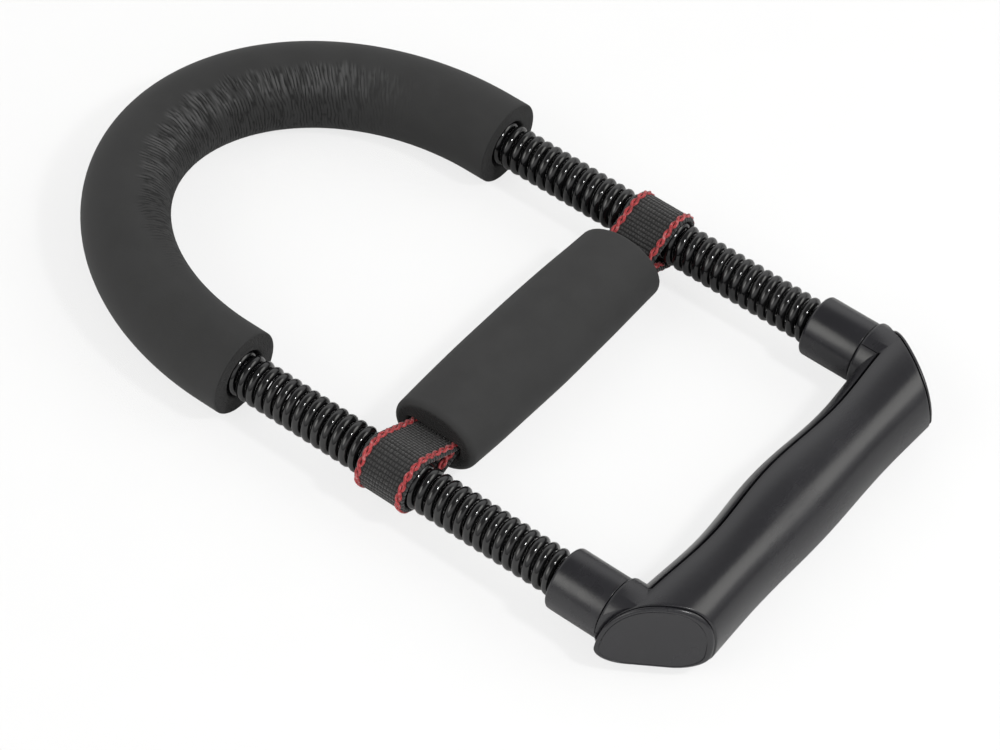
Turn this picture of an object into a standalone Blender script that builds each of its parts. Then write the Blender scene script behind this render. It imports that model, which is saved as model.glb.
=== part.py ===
"""Spring wrist exerciser: a foam-covered U arch, two coil springs, a strap pad and a moulded grip.

Frame of the drawing: X runs along the springs from the arch to the grip, Y across to the left
spring, Z up. x = 0 is where the springs leave the foam, and z = 0 is the plane of the spring axes.
The parent empty exerciser_frame then stands the whole thing on z = 0 with its middle over the origin.
"""
import math

import bmesh
import bpy
import numpy as np
from mathutils import Vector

# Springs
SPRING_SPACING = 0.152
SPRING_OUTER_DIAMETER = 0.0170
WIRE_DIAMETER = 0.0035
COIL_GAP = 0.0006
SPRING_SHOWN = 0.1377
SPRING_IN_FOAM = 0.0070
SPRING_IN_SOCKET = 0.0122
CURL_POINTS = 8

# Arch
ARCH_LEG = 0.0090
ARCH_DEPTH = 0.0892
FOAM_DIAMETER = 0.0324
FOAM_FLAT = 0.0005
FOAM_END_ROUNDING = 0.0009

# Steel parts that hold the springs
COLLAR_LENGTH = 0.0050
PIN_DIAMETER = 0.0026
PIN_INSET = 0.0006
PIN_CHAMFER = 0.0004
ROD_END_INSET = 0.0010
ROD_CHAMFER = 0.0008
GRIP_ROD_BEND = 0.0100

# Sockets of the grip
SOCKET_DIAMETER = 0.0232
SOCKET_WALL = 0.0031
SOCKET_ROUNDING = 0.0012
SOCKET_BACK_ROUNDING = 0.0004

# Grip
SHOULDER_LENGTH = 0.0014
SHOULDER_DIAMETER = 0.0242
SHOULDER_ROUNDING = 0.0006
GRIP_WIDTH = 0.0327
GRIP_TOP = 0.0146
GRIP_WIDEST = -0.0045
GRIP_BOTTOM = -0.0107
GRIP_FLAT_SHARE = 0.38
GRIP_CROWN_POWER = 2.30
GRIP_OVERHANG = 0.0149
GRIP_MITRE = math.radians(35.4)
GRIP_END_LEAN = math.radians(7.3)
GROOVE_INNER = 0.0022
GROOVE_OUTER = 0.0009
GROOVE_TOP = 0.0006
GRIP_WALL = 0.0026
GRIP_ROD_OFFSET = 0.0110
RIB_THICKNESS = 0.0024
LIP_HEIGHT = 0.0118
LIP_DEPTH = 0.0064
LIP_DROP = 0.0078
LIP_DRAFT = 0.0020
LIP_END_CLEARANCE = 0.0005
LIP_END_DRAFT = 0.0006
PARTING_GAP = 0.0004
RIM_EDGE = 0.0004
CAP_RIM = 0.0008
CAP_THICKNESS = 0.0020
CAP_PLUG = 0.0018
CAP_EDGE = 0.0003

# Screws of the grip
SCREW_COUNT = 3
SCREW_PITCH = 0.0440
SCREW_DIAMETER = 0.0030
SCREW_HEAD_DIAMETER = 0.0056
SCREW_HEAD_HEIGHT = 0.0022
SCREW_HEAD_EDGE = 0.0006
SCREW_SUNK = 0.0012
SCREW_LENGTH = 0.0180
SCREW_TIP_DIAMETER = 0.0006
SCREW_RECESS_DEPTH = 0.0011
SCREW_RECESS_LENGTH = 0.0034
SCREW_RECESS_WIDTH = 0.0010
BOSS_WALL = 0.0020

# Strap and pad
PAD_CENTRE = 0.0670
PAD_LENGTH = 0.1120
PAD_WIDTH = 0.0370
PAD_HEIGHT = 0.0280
PAD_CROWN = 0.0012
PAD_END_ROUNDING = 0.0050
WEBBING_WIDTH = 0.0210
WEBBING_THICKNESS = 0.0016
WEBBING_LAYER_GAP = 0.0008

# Clearances
SEAT_GAP = 0.0003
SLIP = 0.0003
SPRING_SLIP = 0.0004

# Where the springs bend, as a share of the length that shows
PIVOT_SHARE = 0.14

# Facets
ROUND_SIDES = 12
ARCH_STEPS = 26
FOAM_SIDES = 20
TURNED_SIDES = 24
ROUNDING_STEPS = 2
ROD_BEND_STEPS = 6
CROWN_STEPS = 12
CORNER_STEPS = 4
GRIP_STEPS = 20
PARTING_STEPS = 10
STRAP_TURN_STEPS = 12
PAD_SIDES = 24
PAD_STEPS = 6
PAD_END_STEPS = 3
GAP_SAMPLES = 4
SMOOTH_ANGLE = math.radians(35)
OVERSHOOT = 0.0050
PAST_END = 1.1

# Values worked out from the sizes above
SIDE = SPRING_SPACING / 2
SPRING_RADIUS = SPRING_OUTER_DIAMETER / 2
WIRE_RADIUS = WIRE_DIAMETER / 2
COIL_RADIUS = SPRING_RADIUS - WIRE_RADIUS
PITCH = WIRE_DIAMETER + COIL_GAP
ROD_RADIUS = COIL_RADIUS * math.cos(math.pi / CURL_POINTS) - WIRE_RADIUS - SLIP
ROD_BORE = ROD_RADIUS + SLIP
SPRING_BORE = SPRING_RADIUS + SPRING_SLIP
FOAM_RADIUS = FOAM_DIAMETER / 2
SOCKET_RADIUS = SOCKET_DIAMETER / 2
PIN_RADIUS = PIN_DIAMETER / 2
PIN_BORE = PIN_RADIUS + SLIP
PIN_LENGTH = SPRING_OUTER_DIAMETER - 2 * PIN_INSET
ARCH_COLLAR_FACE = -SPRING_IN_FOAM - SEAT_GAP
ARCH_COLLAR_BACK = ARCH_COLLAR_FACE - COLLAR_LENGTH
COLLAR_BEND = max(0.0, -ARCH_COLLAR_BACK - ARCH_LEG) / ARCH_DEPTH
ROD_DRIFT = SIDE * (1 - math.sqrt(1 - COLLAR_BEND**2))
COLLAR_LEAN = SIDE * COLLAR_BEND / ARCH_DEPTH
FOAM_COUNTERBORE = -ARCH_COLLAR_BACK + 2 * SEAT_GAP + SPRING_RADIUS * COLLAR_LEAN
SOCKET_FACE = SPRING_SHOWN
GRIP_COLLAR_FACE = SOCKET_FACE + SPRING_IN_SOCKET + SEAT_GAP
GRIP_COLLAR_BACK = GRIP_COLLAR_FACE + COLLAR_LENGTH
SOCKET_FLOOR = GRIP_COLLAR_BACK + SEAT_GAP
SOCKET_BACK = SOCKET_FLOOR + SOCKET_WALL
SHOULDER_FACE = SOCKET_BACK + SEAT_GAP
GRIP_INNER = SHOULDER_FACE + SHOULDER_LENGTH
GRIP_OUTER = GRIP_INNER + GRIP_WIDTH
END_SLOPE = math.sqrt(1 + math.tan(GRIP_MITRE) ** 2 + math.tan(GRIP_END_LEAN) ** 2)
GRIP_ROD_LINE = GRIP_INNER + GRIP_ROD_OFFSET
SCREW_LINE = GRIP_INNER + GRIP_WIDTH * (1 + GRIP_FLAT_SHARE) / 2 - SCREW_HEAD_DIAMETER / 2
BOSS_RADIUS = SCREW_DIAMETER / 2 + BOSS_WALL
PAD_SLOT_HALF = WEBBING_LAYER_GAP / 2 + WEBBING_THICKNESS + SLIP
ARCH_APEX = -ARCH_LEG - ARCH_DEPTH - FOAM_RADIUS
FRAME_X = -(ARCH_APEX + GRIP_OUTER) / 2
FRAME_Z = FOAM_RADIUS - FOAM_FLAT
ARCH_PIVOT = PIVOT_SHARE * SPRING_SHOWN
GRIP_PIVOT = SPRING_SHOWN - ARCH_PIVOT


def clear_scene():
    for item in list(bpy.data.objects):
        bpy.data.objects.remove(item, do_unlink=True)


def make_material(name, colour, roughness, metallic=0.0):
    material = bpy.data.materials.new(name)
    material.use_nodes = True
    shader = material.node_tree.nodes["Principled BSDF"]
    shader.inputs["Base Color"].default_value = (*colour, 1.0)
    shader.inputs["Roughness"].default_value = roughness
    shader.inputs["Metallic"].default_value = metallic
    material.diffuse_color = (*colour, 1.0)
    return material


def make_empty(name, location, parent=None):
    empty = bpy.data.objects.new(name, None)
    empty.empty_display_size = 0.02
    bpy.context.scene.collection.objects.link(empty)
    empty.parent = parent
    empty.location = location
    return empty


def drawing_origin(parent):
    """Where the drawing's origin lies for a child of this empty."""
    offset = Vector((0.0, 0.0, 0.0))
    while parent is not None and parent.parent is not None:
        offset -= parent.location
        parent = parent.parent
    return offset


def add_object(name, data, parent, materials=()):
    item = bpy.data.objects.new(name, data)
    bpy.context.scene.collection.objects.link(item)
    for material in materials:
        data.materials.append(material)
    if parent is not None:
        item.parent = parent
        item.location = drawing_origin(parent)
    return item


def loft_mesh(name, rings, closed=False):
    """Skin rings of equal length. An open loft gets a face over its first and last ring."""
    mesh = bmesh.new()
    rows = [[mesh.verts.new(point) for point in ring] for ring in rings]
    pairs = list(zip(rows, rows[1:]))
    if closed:
        pairs.append((rows[-1], rows[0]))
    for row, following in pairs:
        for index in range(len(row)):
            after = (index + 1) % len(row)
            mesh.faces.new((row[index], row[after], following[after], following[index]))
    if not closed:
        mesh.faces.new(list(reversed(rows[0])))
        mesh.faces.new(rows[-1])
    bmesh.ops.recalc_face_normals(mesh, faces=mesh.faces)
    data = bpy.data.meshes.new(name)
    mesh.to_mesh(data)
    mesh.free()
    return data


def shade(data):
    data.shade_smooth()
    data.set_sharp_from_angle(angle=SMOOTH_ANGLE)


def turned_rings(profile, centre, axis, sides):
    """Turn (along, radius) points about an axis through centre."""
    rings = []
    for along, radius in profile:
        ring = []
        for index in range(sides):
            angle = 2 * math.pi * (index + 0.5) / sides
            first, second = radius * math.cos(angle), radius * math.sin(angle)
            if axis == "X":
                offset = (along, first, second)
            else:
                offset = (first, second, along)
            ring.append(Vector(centre) + Vector(offset))
        rings.append(ring)
    return rings


def turned_solid(name, profile, centre, axis="X", sides=TURNED_SIDES):
    return loft_mesh(name, turned_rings(profile, centre, axis, sides))


def turned_ring(name, profile, centre):
    """A turned body with a bore: its profile is a closed loop."""
    return loft_mesh(name, turned_rings(profile, centre, "X", TURNED_SIDES), closed=True)


def rounded_corner(face, radius, edge, inward):
    """Profile points round a turned body's outer corner, from its side to its face."""
    points = []
    for step in range(ROUNDING_STEPS + 1):
        angle = math.pi / 2 * step / ROUNDING_STEPS
        along = face + inward * edge * (1 - math.sin(angle))
        points.append((along, radius - edge * (1 - math.cos(angle))))
    return points


def box_mesh(name, low, high):
    x0, y0, z0 = low
    x1, y1, z1 = high
    bottom = [(x0, y0, z0), (x1, y0, z0), (x1, y1, z0), (x0, y1, z0)]
    top = [(x, y, z1) for x, y, _ in bottom]
    return loft_mesh(name, [bottom, top])


def boolean(target, tool_data, operation, solver="EXACT"):
    """Cut or join with a helper body, and keep the result as the target's own mesh."""
    tool = add_object("tool_body", tool_data, target.parent)
    tool.display_type = "WIRE"
    tool.hide_render = True
    modifier = target.modifiers.new("shape", "BOOLEAN")
    modifier.operation = operation
    modifier.solver = solver
    modifier.object = tool
    bpy.context.view_layer.update()
    graph = bpy.context.evaluated_depsgraph_get()
    result = bpy.data.meshes.new_from_object(target.evaluated_get(graph))
    target.modifiers.remove(modifier)
    before = target.data
    target.data = result
    bpy.data.meshes.remove(before)
    bpy.data.objects.remove(tool, do_unlink=True)
    bpy.data.meshes.remove(tool_data)


def helper(name, data):
    """A working body that another body is cut with."""
    return add_object(name, data, None)


def take_mesh(item):
    """The mesh of a working body, whose object is then dropped."""
    data = item.data
    bpy.data.objects.remove(item, do_unlink=True)
    return data


# Arch


def arch_stations(first_x, extra=()):
    """Points and directions along the arch from the right leg to the left one."""
    legs = sorted({first_x, -ARCH_LEG, *extra}, reverse=True)
    stations = []
    for x in legs:
        if x >= -ARCH_LEG:
            stations.append(((x, -SIDE), (-1.0, 0.0)))
    turns = [math.pi * index / ARCH_STEPS for index in range(1, ARCH_STEPS)]
    for angle in turns:
        point = (-ARCH_LEG - ARCH_DEPTH * math.sin(angle), -SIDE * math.cos(angle))
        direction = Vector((-ARCH_DEPTH * math.cos(angle), SIDE * math.sin(angle))).normalized()
        stations.append((point, tuple(direction)))
    for x in reversed(legs):
        if x >= -ARCH_LEG:
            stations.append(((x, SIDE), (1.0, 0.0)))
    return stations


def station_before(depth):
    """The place on the arch whose distance behind the foam's end face is depth, on the right leg."""
    along = max(0.0, depth - ARCH_LEG)
    angle = math.asin(min(1.0, along / ARCH_DEPTH))
    point = (-ARCH_LEG - along, -SIDE * math.cos(angle))
    direction = Vector((-ARCH_DEPTH * math.cos(angle), SIDE * math.sin(angle))).normalized()
    return point, tuple(direction)


def mirrored(station):
    (x, y), (along, across) = station
    return (x, -y), (-along, across)


def ring_at(station, outline):
    """Lay an outline of (sideways, up) points square across the arch."""
    (x, y), (along, across) = station
    return [(x - across * side, y + along * side, up) for side, up in outline]


def round_outline(radius, sides):
    angles = [2 * math.pi * (index + 0.5) / sides for index in range(sides)]
    return [(radius * math.cos(angle), radius * math.sin(angle)) for angle in angles]


def foam_outline(radius):
    """A circle whose bottom is flat where the arch lies on a table."""
    flat = FOAM_RADIUS - FOAM_FLAT
    start = math.acos(min(1.0, flat / radius)) if flat < radius else math.pi / FOAM_SIDES
    span = 2 * math.pi - 2 * start
    angles = [-math.pi / 2 + start + span * index / (FOAM_SIDES - 1) for index in range(FOAM_SIDES)]
    return [(radius * math.cos(angle), radius * math.sin(angle)) for angle in angles]


def build_arch_rod(parent, material):
    tip = round_outline(ROD_RADIUS - ROD_CHAMFER, ROUND_SIDES)
    full = round_outline(ROD_RADIUS, ROUND_SIDES)
    stations = arch_stations(-ROD_END_INSET)
    inner = ((-ROD_END_INSET - ROD_CHAMFER, -SIDE), (-1.0, 0.0))
    rings = [ring_at(stations[0], tip), ring_at(inner, full)]
    rings += [ring_at(station, full) for station in stations[1:-1]]
    rings += [ring_at(mirrored(inner), full), ring_at(stations[-1], tip)]
    rod = add_object("arch_rod", loft_mesh("arch_rod", rings), parent, [material])
    for side in (-1, 1):
        drill_for_pin(rod, ARCH_COLLAR_FACE - COLLAR_LENGTH / 2, side)
    shade(rod.data)


def build_arch_foam(parent, material):
    """A foam sleeve: outside with a flat underneath, inside stepped for collar and spring."""
    stations = arch_stations(0.0)
    step = station_before(FOAM_COUNTERBORE)
    inside = [station for station in stations if station[0][0] < step[0][0]]
    outer_path = [((-FOAM_END_ROUNDING, -SIDE), (-1.0, 0.0))] + stations[1:-1]
    outer_path += [mirrored(outer_path[0])]
    full = foam_outline(FOAM_RADIUS)
    small = foam_outline(FOAM_RADIUS - FOAM_END_ROUNDING)
    wide = round_outline(SPRING_BORE + ROD_DRIFT + SLIP, FOAM_SIDES)
    slim = round_outline(ROD_BORE, FOAM_SIDES)
    shift = FOAM_SIDES // 4
    wide = wide[-shift:] + wide[:-shift]
    slim = slim[-shift:] + slim[:-shift]
    rings = [ring_at(stations[0], small)]
    rings += [ring_at(station, full) for station in outer_path]
    rings += [ring_at(stations[-1], small), ring_at(stations[-1], wide), ring_at(mirrored(step), wide)]
    rings += [ring_at(mirrored(step), slim)]
    rings += [ring_at(station, slim) for station in reversed(inside)]
    rings += [ring_at(step, slim), ring_at(step, wide), ring_at(stations[0], wide)]
    foam = add_object("arch_foam", loft_mesh("arch_foam", rings, closed=True), parent, [material])
    shade(foam.data)


# Collars and pins


def drill_for_pin(item, x, side):
    reach = SPRING_RADIUS + OVERSHOOT
    profile = [(-reach, PIN_BORE), (reach, PIN_BORE)]
    boolean(item, turned_solid("drill", profile, (x, side * SIDE, 0.0), "Z", ROUND_SIDES), "DIFFERENCE")


def build_collar(name, face, back, bore, side, parent, material):
    """A steel ring on the rod that the end of the spring bears on, drilled for its pin."""
    profile = [(face, bore), (face, SPRING_RADIUS), (back, SPRING_RADIUS), (back, bore)]
    data = turned_ring(name, profile, (0.0, side * SIDE, 0.0))
    collar = add_object(name, data, parent, [material])
    drill_for_pin(collar, (face + back) / 2, side)
    shade(collar.data)


def build_pin(name, x, side, parent, material):
    half = PIN_LENGTH / 2
    profile = [(-half, PIN_RADIUS - PIN_CHAMFER), (-half + PIN_CHAMFER, PIN_RADIUS)]
    profile += [(half - PIN_CHAMFER, PIN_RADIUS), (half, PIN_RADIUS - PIN_CHAMFER)]
    data = turned_solid(name, profile, (x, side * SIDE, 0.0), "Z", ROUND_SIDES)
    pin = add_object(name, data, parent, [material])
    shade(pin.data)


# Springs


def spring_points(side):
    """One unbroken wire: a straight tang, the coil, and a straight tang at the other end."""
    start = -SPRING_IN_FOAM
    end = SPRING_SHOWN + SPRING_IN_SOCKET
    room = end - start - 2 * WIRE_DIAMETER
    turns = math.floor(room / PITCH)
    tang = WIRE_DIAMETER + (room - turns * PITCH) / 2
    points = [(start, 0.0)]
    steps = turns * CURL_POINTS
    for index in range(steps + 1):
        points.append((start + tang + PITCH * index / CURL_POINTS, index))
    points.append((end, steps))
    wire = []
    for x, index in points:
        angle = 2 * math.pi * index / CURL_POINTS
        wire.append((x, side * SIDE + COIL_RADIUS * math.cos(angle), COIL_RADIUS * math.sin(angle)))
    return np.array(wire)


def least_gap(points):
    """The least clear distance between stretches of the wire that aren't next to each other."""
    shares = np.arange(GAP_SAMPLES)[:, None, None] / GAP_SAMPLES
    dense = (points[:-1] * (1 - shares) + points[1:] * shares).transpose(1, 0, 2).reshape(-1, 3)
    walked = np.concatenate([[0], np.cumsum(np.linalg.norm(np.diff(dense, axis=0), axis=1))])
    apart = np.linalg.norm(dense[:, None] - dense[None], axis=2)
    near = np.abs(walked[:, None] - walked[None]) < math.pi * COIL_RADIUS
    apart[near] = np.inf
    return float(apart.min()) - WIRE_DIAMETER


def build_spring(name, side, parent, material):
    points = spring_points(side)
    gap_mm = 1000 * least_gap(points)
    print(f"{name}: {(len(points) - 3) / CURL_POINTS:.0f} curls, least gap to itself {gap_mm:.2f} mm")
    curve = bpy.data.curves.new(name, "CURVE")
    curve.dimensions = "3D"
    curve.bevel_depth = WIRE_RADIUS
    curve.bevel_resolution = 1
    curve.use_fill_caps = True
    spline = curve.splines.new("POLY")
    spline.points.add(len(points) - 1)
    for point, place in zip(spline.points, points):
        point.co = (*place, 1.0)
    add_object(name, curve, parent, [material])


# Grip


def mitre_end(x, z):
    """How far from the middle the grip ends at this x and z: its ends are mitred and lean inward."""
    back = (x - GRIP_INNER) * math.tan(GRIP_MITRE) + z * math.tan(GRIP_END_LEAN)
    return SIDE + GRIP_OVERHANG - back


def groove(y):
    """0 at the middle and at the springs, 1 at the two finger grooves."""
    if abs(y) >= SIDE:
        return 0.0
    return (1 - math.cos(2 * math.pi * y / SIDE)) / 2


def grip_section(inset):
    """The D outline as (share of half width, height) points, crown first, then the flat bottom."""
    half = GRIP_WIDTH / 2
    share = (half - inset) / half
    power = 2 / GRIP_CROWN_POWER
    outline = []
    for index in range(CROWN_STEPS + 1):
        angle = math.pi * index / CROWN_STEPS
        across = math.copysign(abs(math.cos(angle)) ** power, math.cos(angle))
        rise = math.sin(angle) ** power if 0 < index < CROWN_STEPS else 0.0
        outline.append((share * across, GRIP_WIDEST + (GRIP_TOP - inset - GRIP_WIDEST) * rise))
    for sign in (-1, 1):
        corner = []
        for index in range(1, CORNER_STEPS + 1):
            angle = math.pi / 2 * index / CORNER_STEPS
            across = GRIP_FLAT_SHARE + (1 - GRIP_FLAT_SHARE) * math.cos(angle)
            drop = (GRIP_WIDEST - GRIP_BOTTOM - inset) * math.sin(angle)
            corner.append((sign * share * across, GRIP_WIDEST - drop))
        outline += corner if sign < 0 else list(reversed(corner))
    return outline


def grip_ring(reach, inset=0.0, pull=0.0, scale=1.0):
    """A ring of the grip. reach runs from -1 to 1, pull draws the ring in along Y."""
    ring = []
    middle = (GRIP_INNER + GRIP_OUTER) / 2
    for across, height in grip_section(inset):
        share = scale * across
        dent = groove(reach * (mitre_end(middle + share * GRIP_WIDTH / 2, height) - pull))
        inner = GRIP_INNER + GROOVE_INNER * dent
        outer = GRIP_OUTER - GROOVE_OUTER * dent
        x = (inner + outer) / 2 + share * (outer - inner) / 2
        z = scale * (height - GROOVE_TOP * dent * max(0.0, height) / GRIP_TOP)
        ring.append((x, reach * (mitre_end(x, z) - pull), z))
    return ring


def grip_rings(inset=0.0, pull=0.0, past=1.0):
    reaches = [past * (2 * index / GRIP_STEPS - 1) for index in range(GRIP_STEPS + 1)]
    return [grip_ring(reach, inset, pull) for reach in reaches]


def grip_body_mesh():
    """The outer form of the grip, with a narrow chamfer round each end."""
    small = 1 - 2 * RIM_EDGE / GRIP_WIDTH
    rings = grip_rings(pull=RIM_EDGE * END_SLOPE)
    return loft_mesh("grip_body", [grip_ring(-1.0, scale=small)] + rings + [grip_ring(1.0, scale=small)])


def between_mitres(pull):
    """A block whose two ends are the mitred end planes, each drawn in by pull along Y."""
    rings = []
    for side in (-1, 1):
        ring = []
        for x, z in (
            (SOCKET_BACK - OVERSHOOT, GRIP_BOTTOM - OVERSHOOT),
            (GRIP_OUTER + OVERSHOOT, GRIP_BOTTOM - OVERSHOOT),
            (GRIP_OUTER + OVERSHOOT, GRIP_TOP + OVERSHOOT),
            (SOCKET_BACK - OVERSHOOT, GRIP_TOP + OVERSHOOT),
        ):
            ring.append((x, side * (mitre_end(x, z) - pull), z))
        rings.append(ring)
    return loft_mesh("between_mitres", rings)


def rod_stations():
    """The grip rod's bent path, from inside the right spring round to inside the left one."""
    start = SOCKET_FACE + ROD_END_INSET
    bend_x = GRIP_ROD_LINE - GRIP_ROD_BEND
    bend_y = SIDE - GRIP_ROD_BEND
    right = [((start, -SIDE), (1.0, 0.0)), ((start + ROD_CHAMFER, -SIDE), (1.0, 0.0))]
    for index in range(ROD_BEND_STEPS + 1):
        angle = math.pi / 2 * index / ROD_BEND_STEPS
        x = bend_x + GRIP_ROD_BEND * math.sin(angle)
        y = -bend_y - GRIP_ROD_BEND * math.cos(angle)
        right.append(((x, y), (math.cos(angle), math.sin(angle))))
    left = [mirrored(station) for station in reversed(right)]
    return right + left


def build_grip_rod(parent, material):
    stations = rod_stations()
    radii = [ROD_RADIUS - ROD_CHAMFER] + [ROD_RADIUS] * (len(stations) - 2) + [ROD_RADIUS - ROD_CHAMFER]
    rings = [
        ring_at(station, round_outline(radius, ROUND_SIDES))
        for station, radius in zip(stations, radii)
    ]
    rod = add_object("grip_rod", loft_mesh("grip_rod", rings), parent, [material])
    for side in (-1, 1):
        drill_for_pin(rod, GRIP_COLLAR_FACE + COLLAR_LENGTH / 2, side)
    shade(rod.data)


def build_socket(name, side, parent, material):
    """The moulded cup that takes the end of a spring."""
    profile = [(SOCKET_FACE, SPRING_BORE)]
    profile += reversed(rounded_corner(SOCKET_FACE, SOCKET_RADIUS, SOCKET_ROUNDING, 1))
    profile += rounded_corner(SOCKET_BACK, SOCKET_RADIUS, SOCKET_BACK_ROUNDING, -1)
    profile += [(SOCKET_BACK, ROD_BORE), (SOCKET_FLOOR, ROD_BORE), (SOCKET_FLOOR, SPRING_BORE)]
    data = turned_ring(name, profile, (0.0, side * SIDE, 0.0))
    socket = add_object(name, data, parent, [material])
    shade(socket.data)


def screw_places():
    first = -SCREW_PITCH * (SCREW_COUNT - 1) / 2
    return [(SCREW_LINE, first + SCREW_PITCH * index) for index in range(SCREW_COUNT)]


def rib_places():
    """Ribs that cradle the grip rod, between the screws and outside them."""
    outside = (SIDE - GRIP_ROD_BEND + SCREW_PITCH * (SCREW_COUNT - 1) / 2) / 2
    between = SCREW_PITCH / 2
    return [-outside, -between, between, outside]


def grip_cavity():
    """What is hollow inside the two shells: the chamber without its ribs and screw bosses."""
    chamber = helper("chamber", loft_mesh("chamber", grip_rings(inset=GRIP_WALL, past=PAST_END)))
    for y in rib_places():
        half = RIB_THICKNESS / 2
        low = (GRIP_INNER - OVERSHOOT, y - half, GRIP_BOTTOM - OVERSHOOT)
        high = (GRIP_OUTER + OVERSHOOT, y + half, GRIP_TOP + OVERSHOOT)
        boolean(chamber, box_mesh("rib", low, high), "DIFFERENCE")
    for x, y in screw_places():
        profile = [(GRIP_BOTTOM - OVERSHOOT, BOSS_RADIUS), (GRIP_TOP + OVERSHOOT, BOSS_RADIUS)]
        boolean(chamber, turned_solid("boss", profile, (x, y, 0.0), "Z", ROUND_SIDES), "DIFFERENCE")
    return take_mesh(chamber)


def rod_channel():
    """The room that the bent rod needs inside the shells."""
    stations = rod_stations()
    start = ((SOCKET_BACK - OVERSHOOT, -SIDE), (1.0, 0.0))
    path = [start] + stations[2:-2] + [mirrored(start)]
    outline = round_outline(ROD_BORE, ROUND_SIDES)
    return loft_mesh("rod_channel", [ring_at(station, outline) for station in path])


def parting_ring(y, lip_height, gap):
    """A cut across all that lies above the parting line. The line follows the finger grooves."""
    near = SHOULDER_FACE - OVERSHOOT
    far = GRIP_OUTER + OVERSHOOT
    wall_in = GRIP_INNER + GROOVE_INNER * groove(y) + LIP_DEPTH
    wall_out = GRIP_OUTER - 2 * GRIP_WALL
    line = [(near, lip_height), (wall_in, lip_height), (wall_in + LIP_DRAFT, 0.0)]
    line += [(wall_out - LIP_DRAFT, 0.0), (wall_out, -LIP_DROP), (far, -LIP_DROP)]
    top = GRIP_TOP + 2 * OVERSHOOT
    outline = [(x + gap, z + gap) for x, z in line] + [(far + gap, top), (near + gap, top)]
    return [(x, y, z) for x, z in outline]


def parting_mesh(name, gap):
    """All that lies above the parting of the shells, drawn back from it by gap.

    Between the shoulders the lower shell rises in a lip along the inner side. At the shoulders the
    shells part in the plane of the rod, so that the rod can be laid in.
    """
    reach = SIDE + GRIP_OVERHANG + 2 * OVERSHOOT
    lip_end = SIDE - SHOULDER_DIAMETER / 2 - LIP_END_CLEARANCE + gap
    raised = lip_end - LIP_END_DRAFT
    rings = [parting_ring(-reach, 0.0, gap), parting_ring(-lip_end, 0.0, gap)]
    for index in range(PARTING_STEPS + 1):
        rings.append(parting_ring(raised * (2 * index / PARTING_STEPS - 1), LIP_HEIGHT, gap))
    rings += [parting_ring(lip_end, 0.0, gap), parting_ring(reach, 0.0, gap)]
    return loft_mesh(name, rings)


def shoulder_mesh(side):
    """The round root of the grip behind a socket, trimmed where the grip is mitred."""
    end = GRIP_INNER + LIP_DEPTH
    radius = SHOULDER_DIAMETER / 2
    profile = list(reversed(rounded_corner(SHOULDER_FACE, radius, SHOULDER_ROUNDING, 1)))
    profile.append((end, radius))
    shoulder = helper("shoulder", turned_solid("shoulder", profile, (0.0, side * SIDE, 0.0)))
    boolean(shoulder, between_mitres(2 * RIM_EDGE * END_SLOPE), "INTERSECT")
    return take_mesh(shoulder)


def cap_recess(side):
    """The stepped opening in the end of the shells that the cap drops into."""
    floor = grip_ring(side, inset=CAP_RIM, pull=(CAP_THICKNESS + SEAT_GAP) * END_SLOPE)
    mouth = grip_ring(side, inset=CAP_RIM, pull=-OVERSHOOT)
    return loft_mesh("cap_recess", [floor, mouth])


def build_shells(parent, material):
    """Both halves of the grip. The parting cut needs the MANIFOLD solver: EXACT loses the thin rims."""
    body = helper("grip_body", grip_body_mesh())
    for side in (-1, 1):
        boolean(body, shoulder_mesh(side), "UNION")
    boolean(body, grip_cavity(), "DIFFERENCE")
    boolean(body, rod_channel(), "DIFFERENCE")
    for side in (-1, 1):
        boolean(body, cap_recess(side), "DIFFERENCE")
    for x, y in screw_places():
        boolean(body, screw_hole(x, y), "DIFFERENCE")
    for name, gap, operation in (
        ("grip_upper_shell", PARTING_GAP / 2, "INTERSECT"),
        ("grip_lower_shell", -PARTING_GAP / 2, "DIFFERENCE"),
    ):
        shell = add_object(name, body.data.copy(), parent, [material])
        boolean(shell, parting_mesh("parting", gap), operation, "MANIFOLD")
        shade(shell.data)
    bpy.data.meshes.remove(take_mesh(body))


def screw_hole(x, y):
    """Counterbore and shank hole in one turned cutter, from under the grip."""
    head_floor = GRIP_BOTTOM + SCREW_SUNK + SCREW_HEAD_HEIGHT + SEAT_GAP
    shank_end = GRIP_BOTTOM + SCREW_SUNK + SCREW_HEAD_HEIGHT + SCREW_LENGTH + SEAT_GAP
    head = SCREW_HEAD_DIAMETER / 2 + SLIP
    shank = SCREW_DIAMETER / 2 + SLIP
    profile = [(GRIP_BOTTOM - OVERSHOOT, head), (head_floor, head)]
    profile += [(head_floor, shank), (shank_end, shank)]
    return turned_solid("screw_hole", profile, (x, y, 0.0), "Z", ROUND_SIDES)


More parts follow.
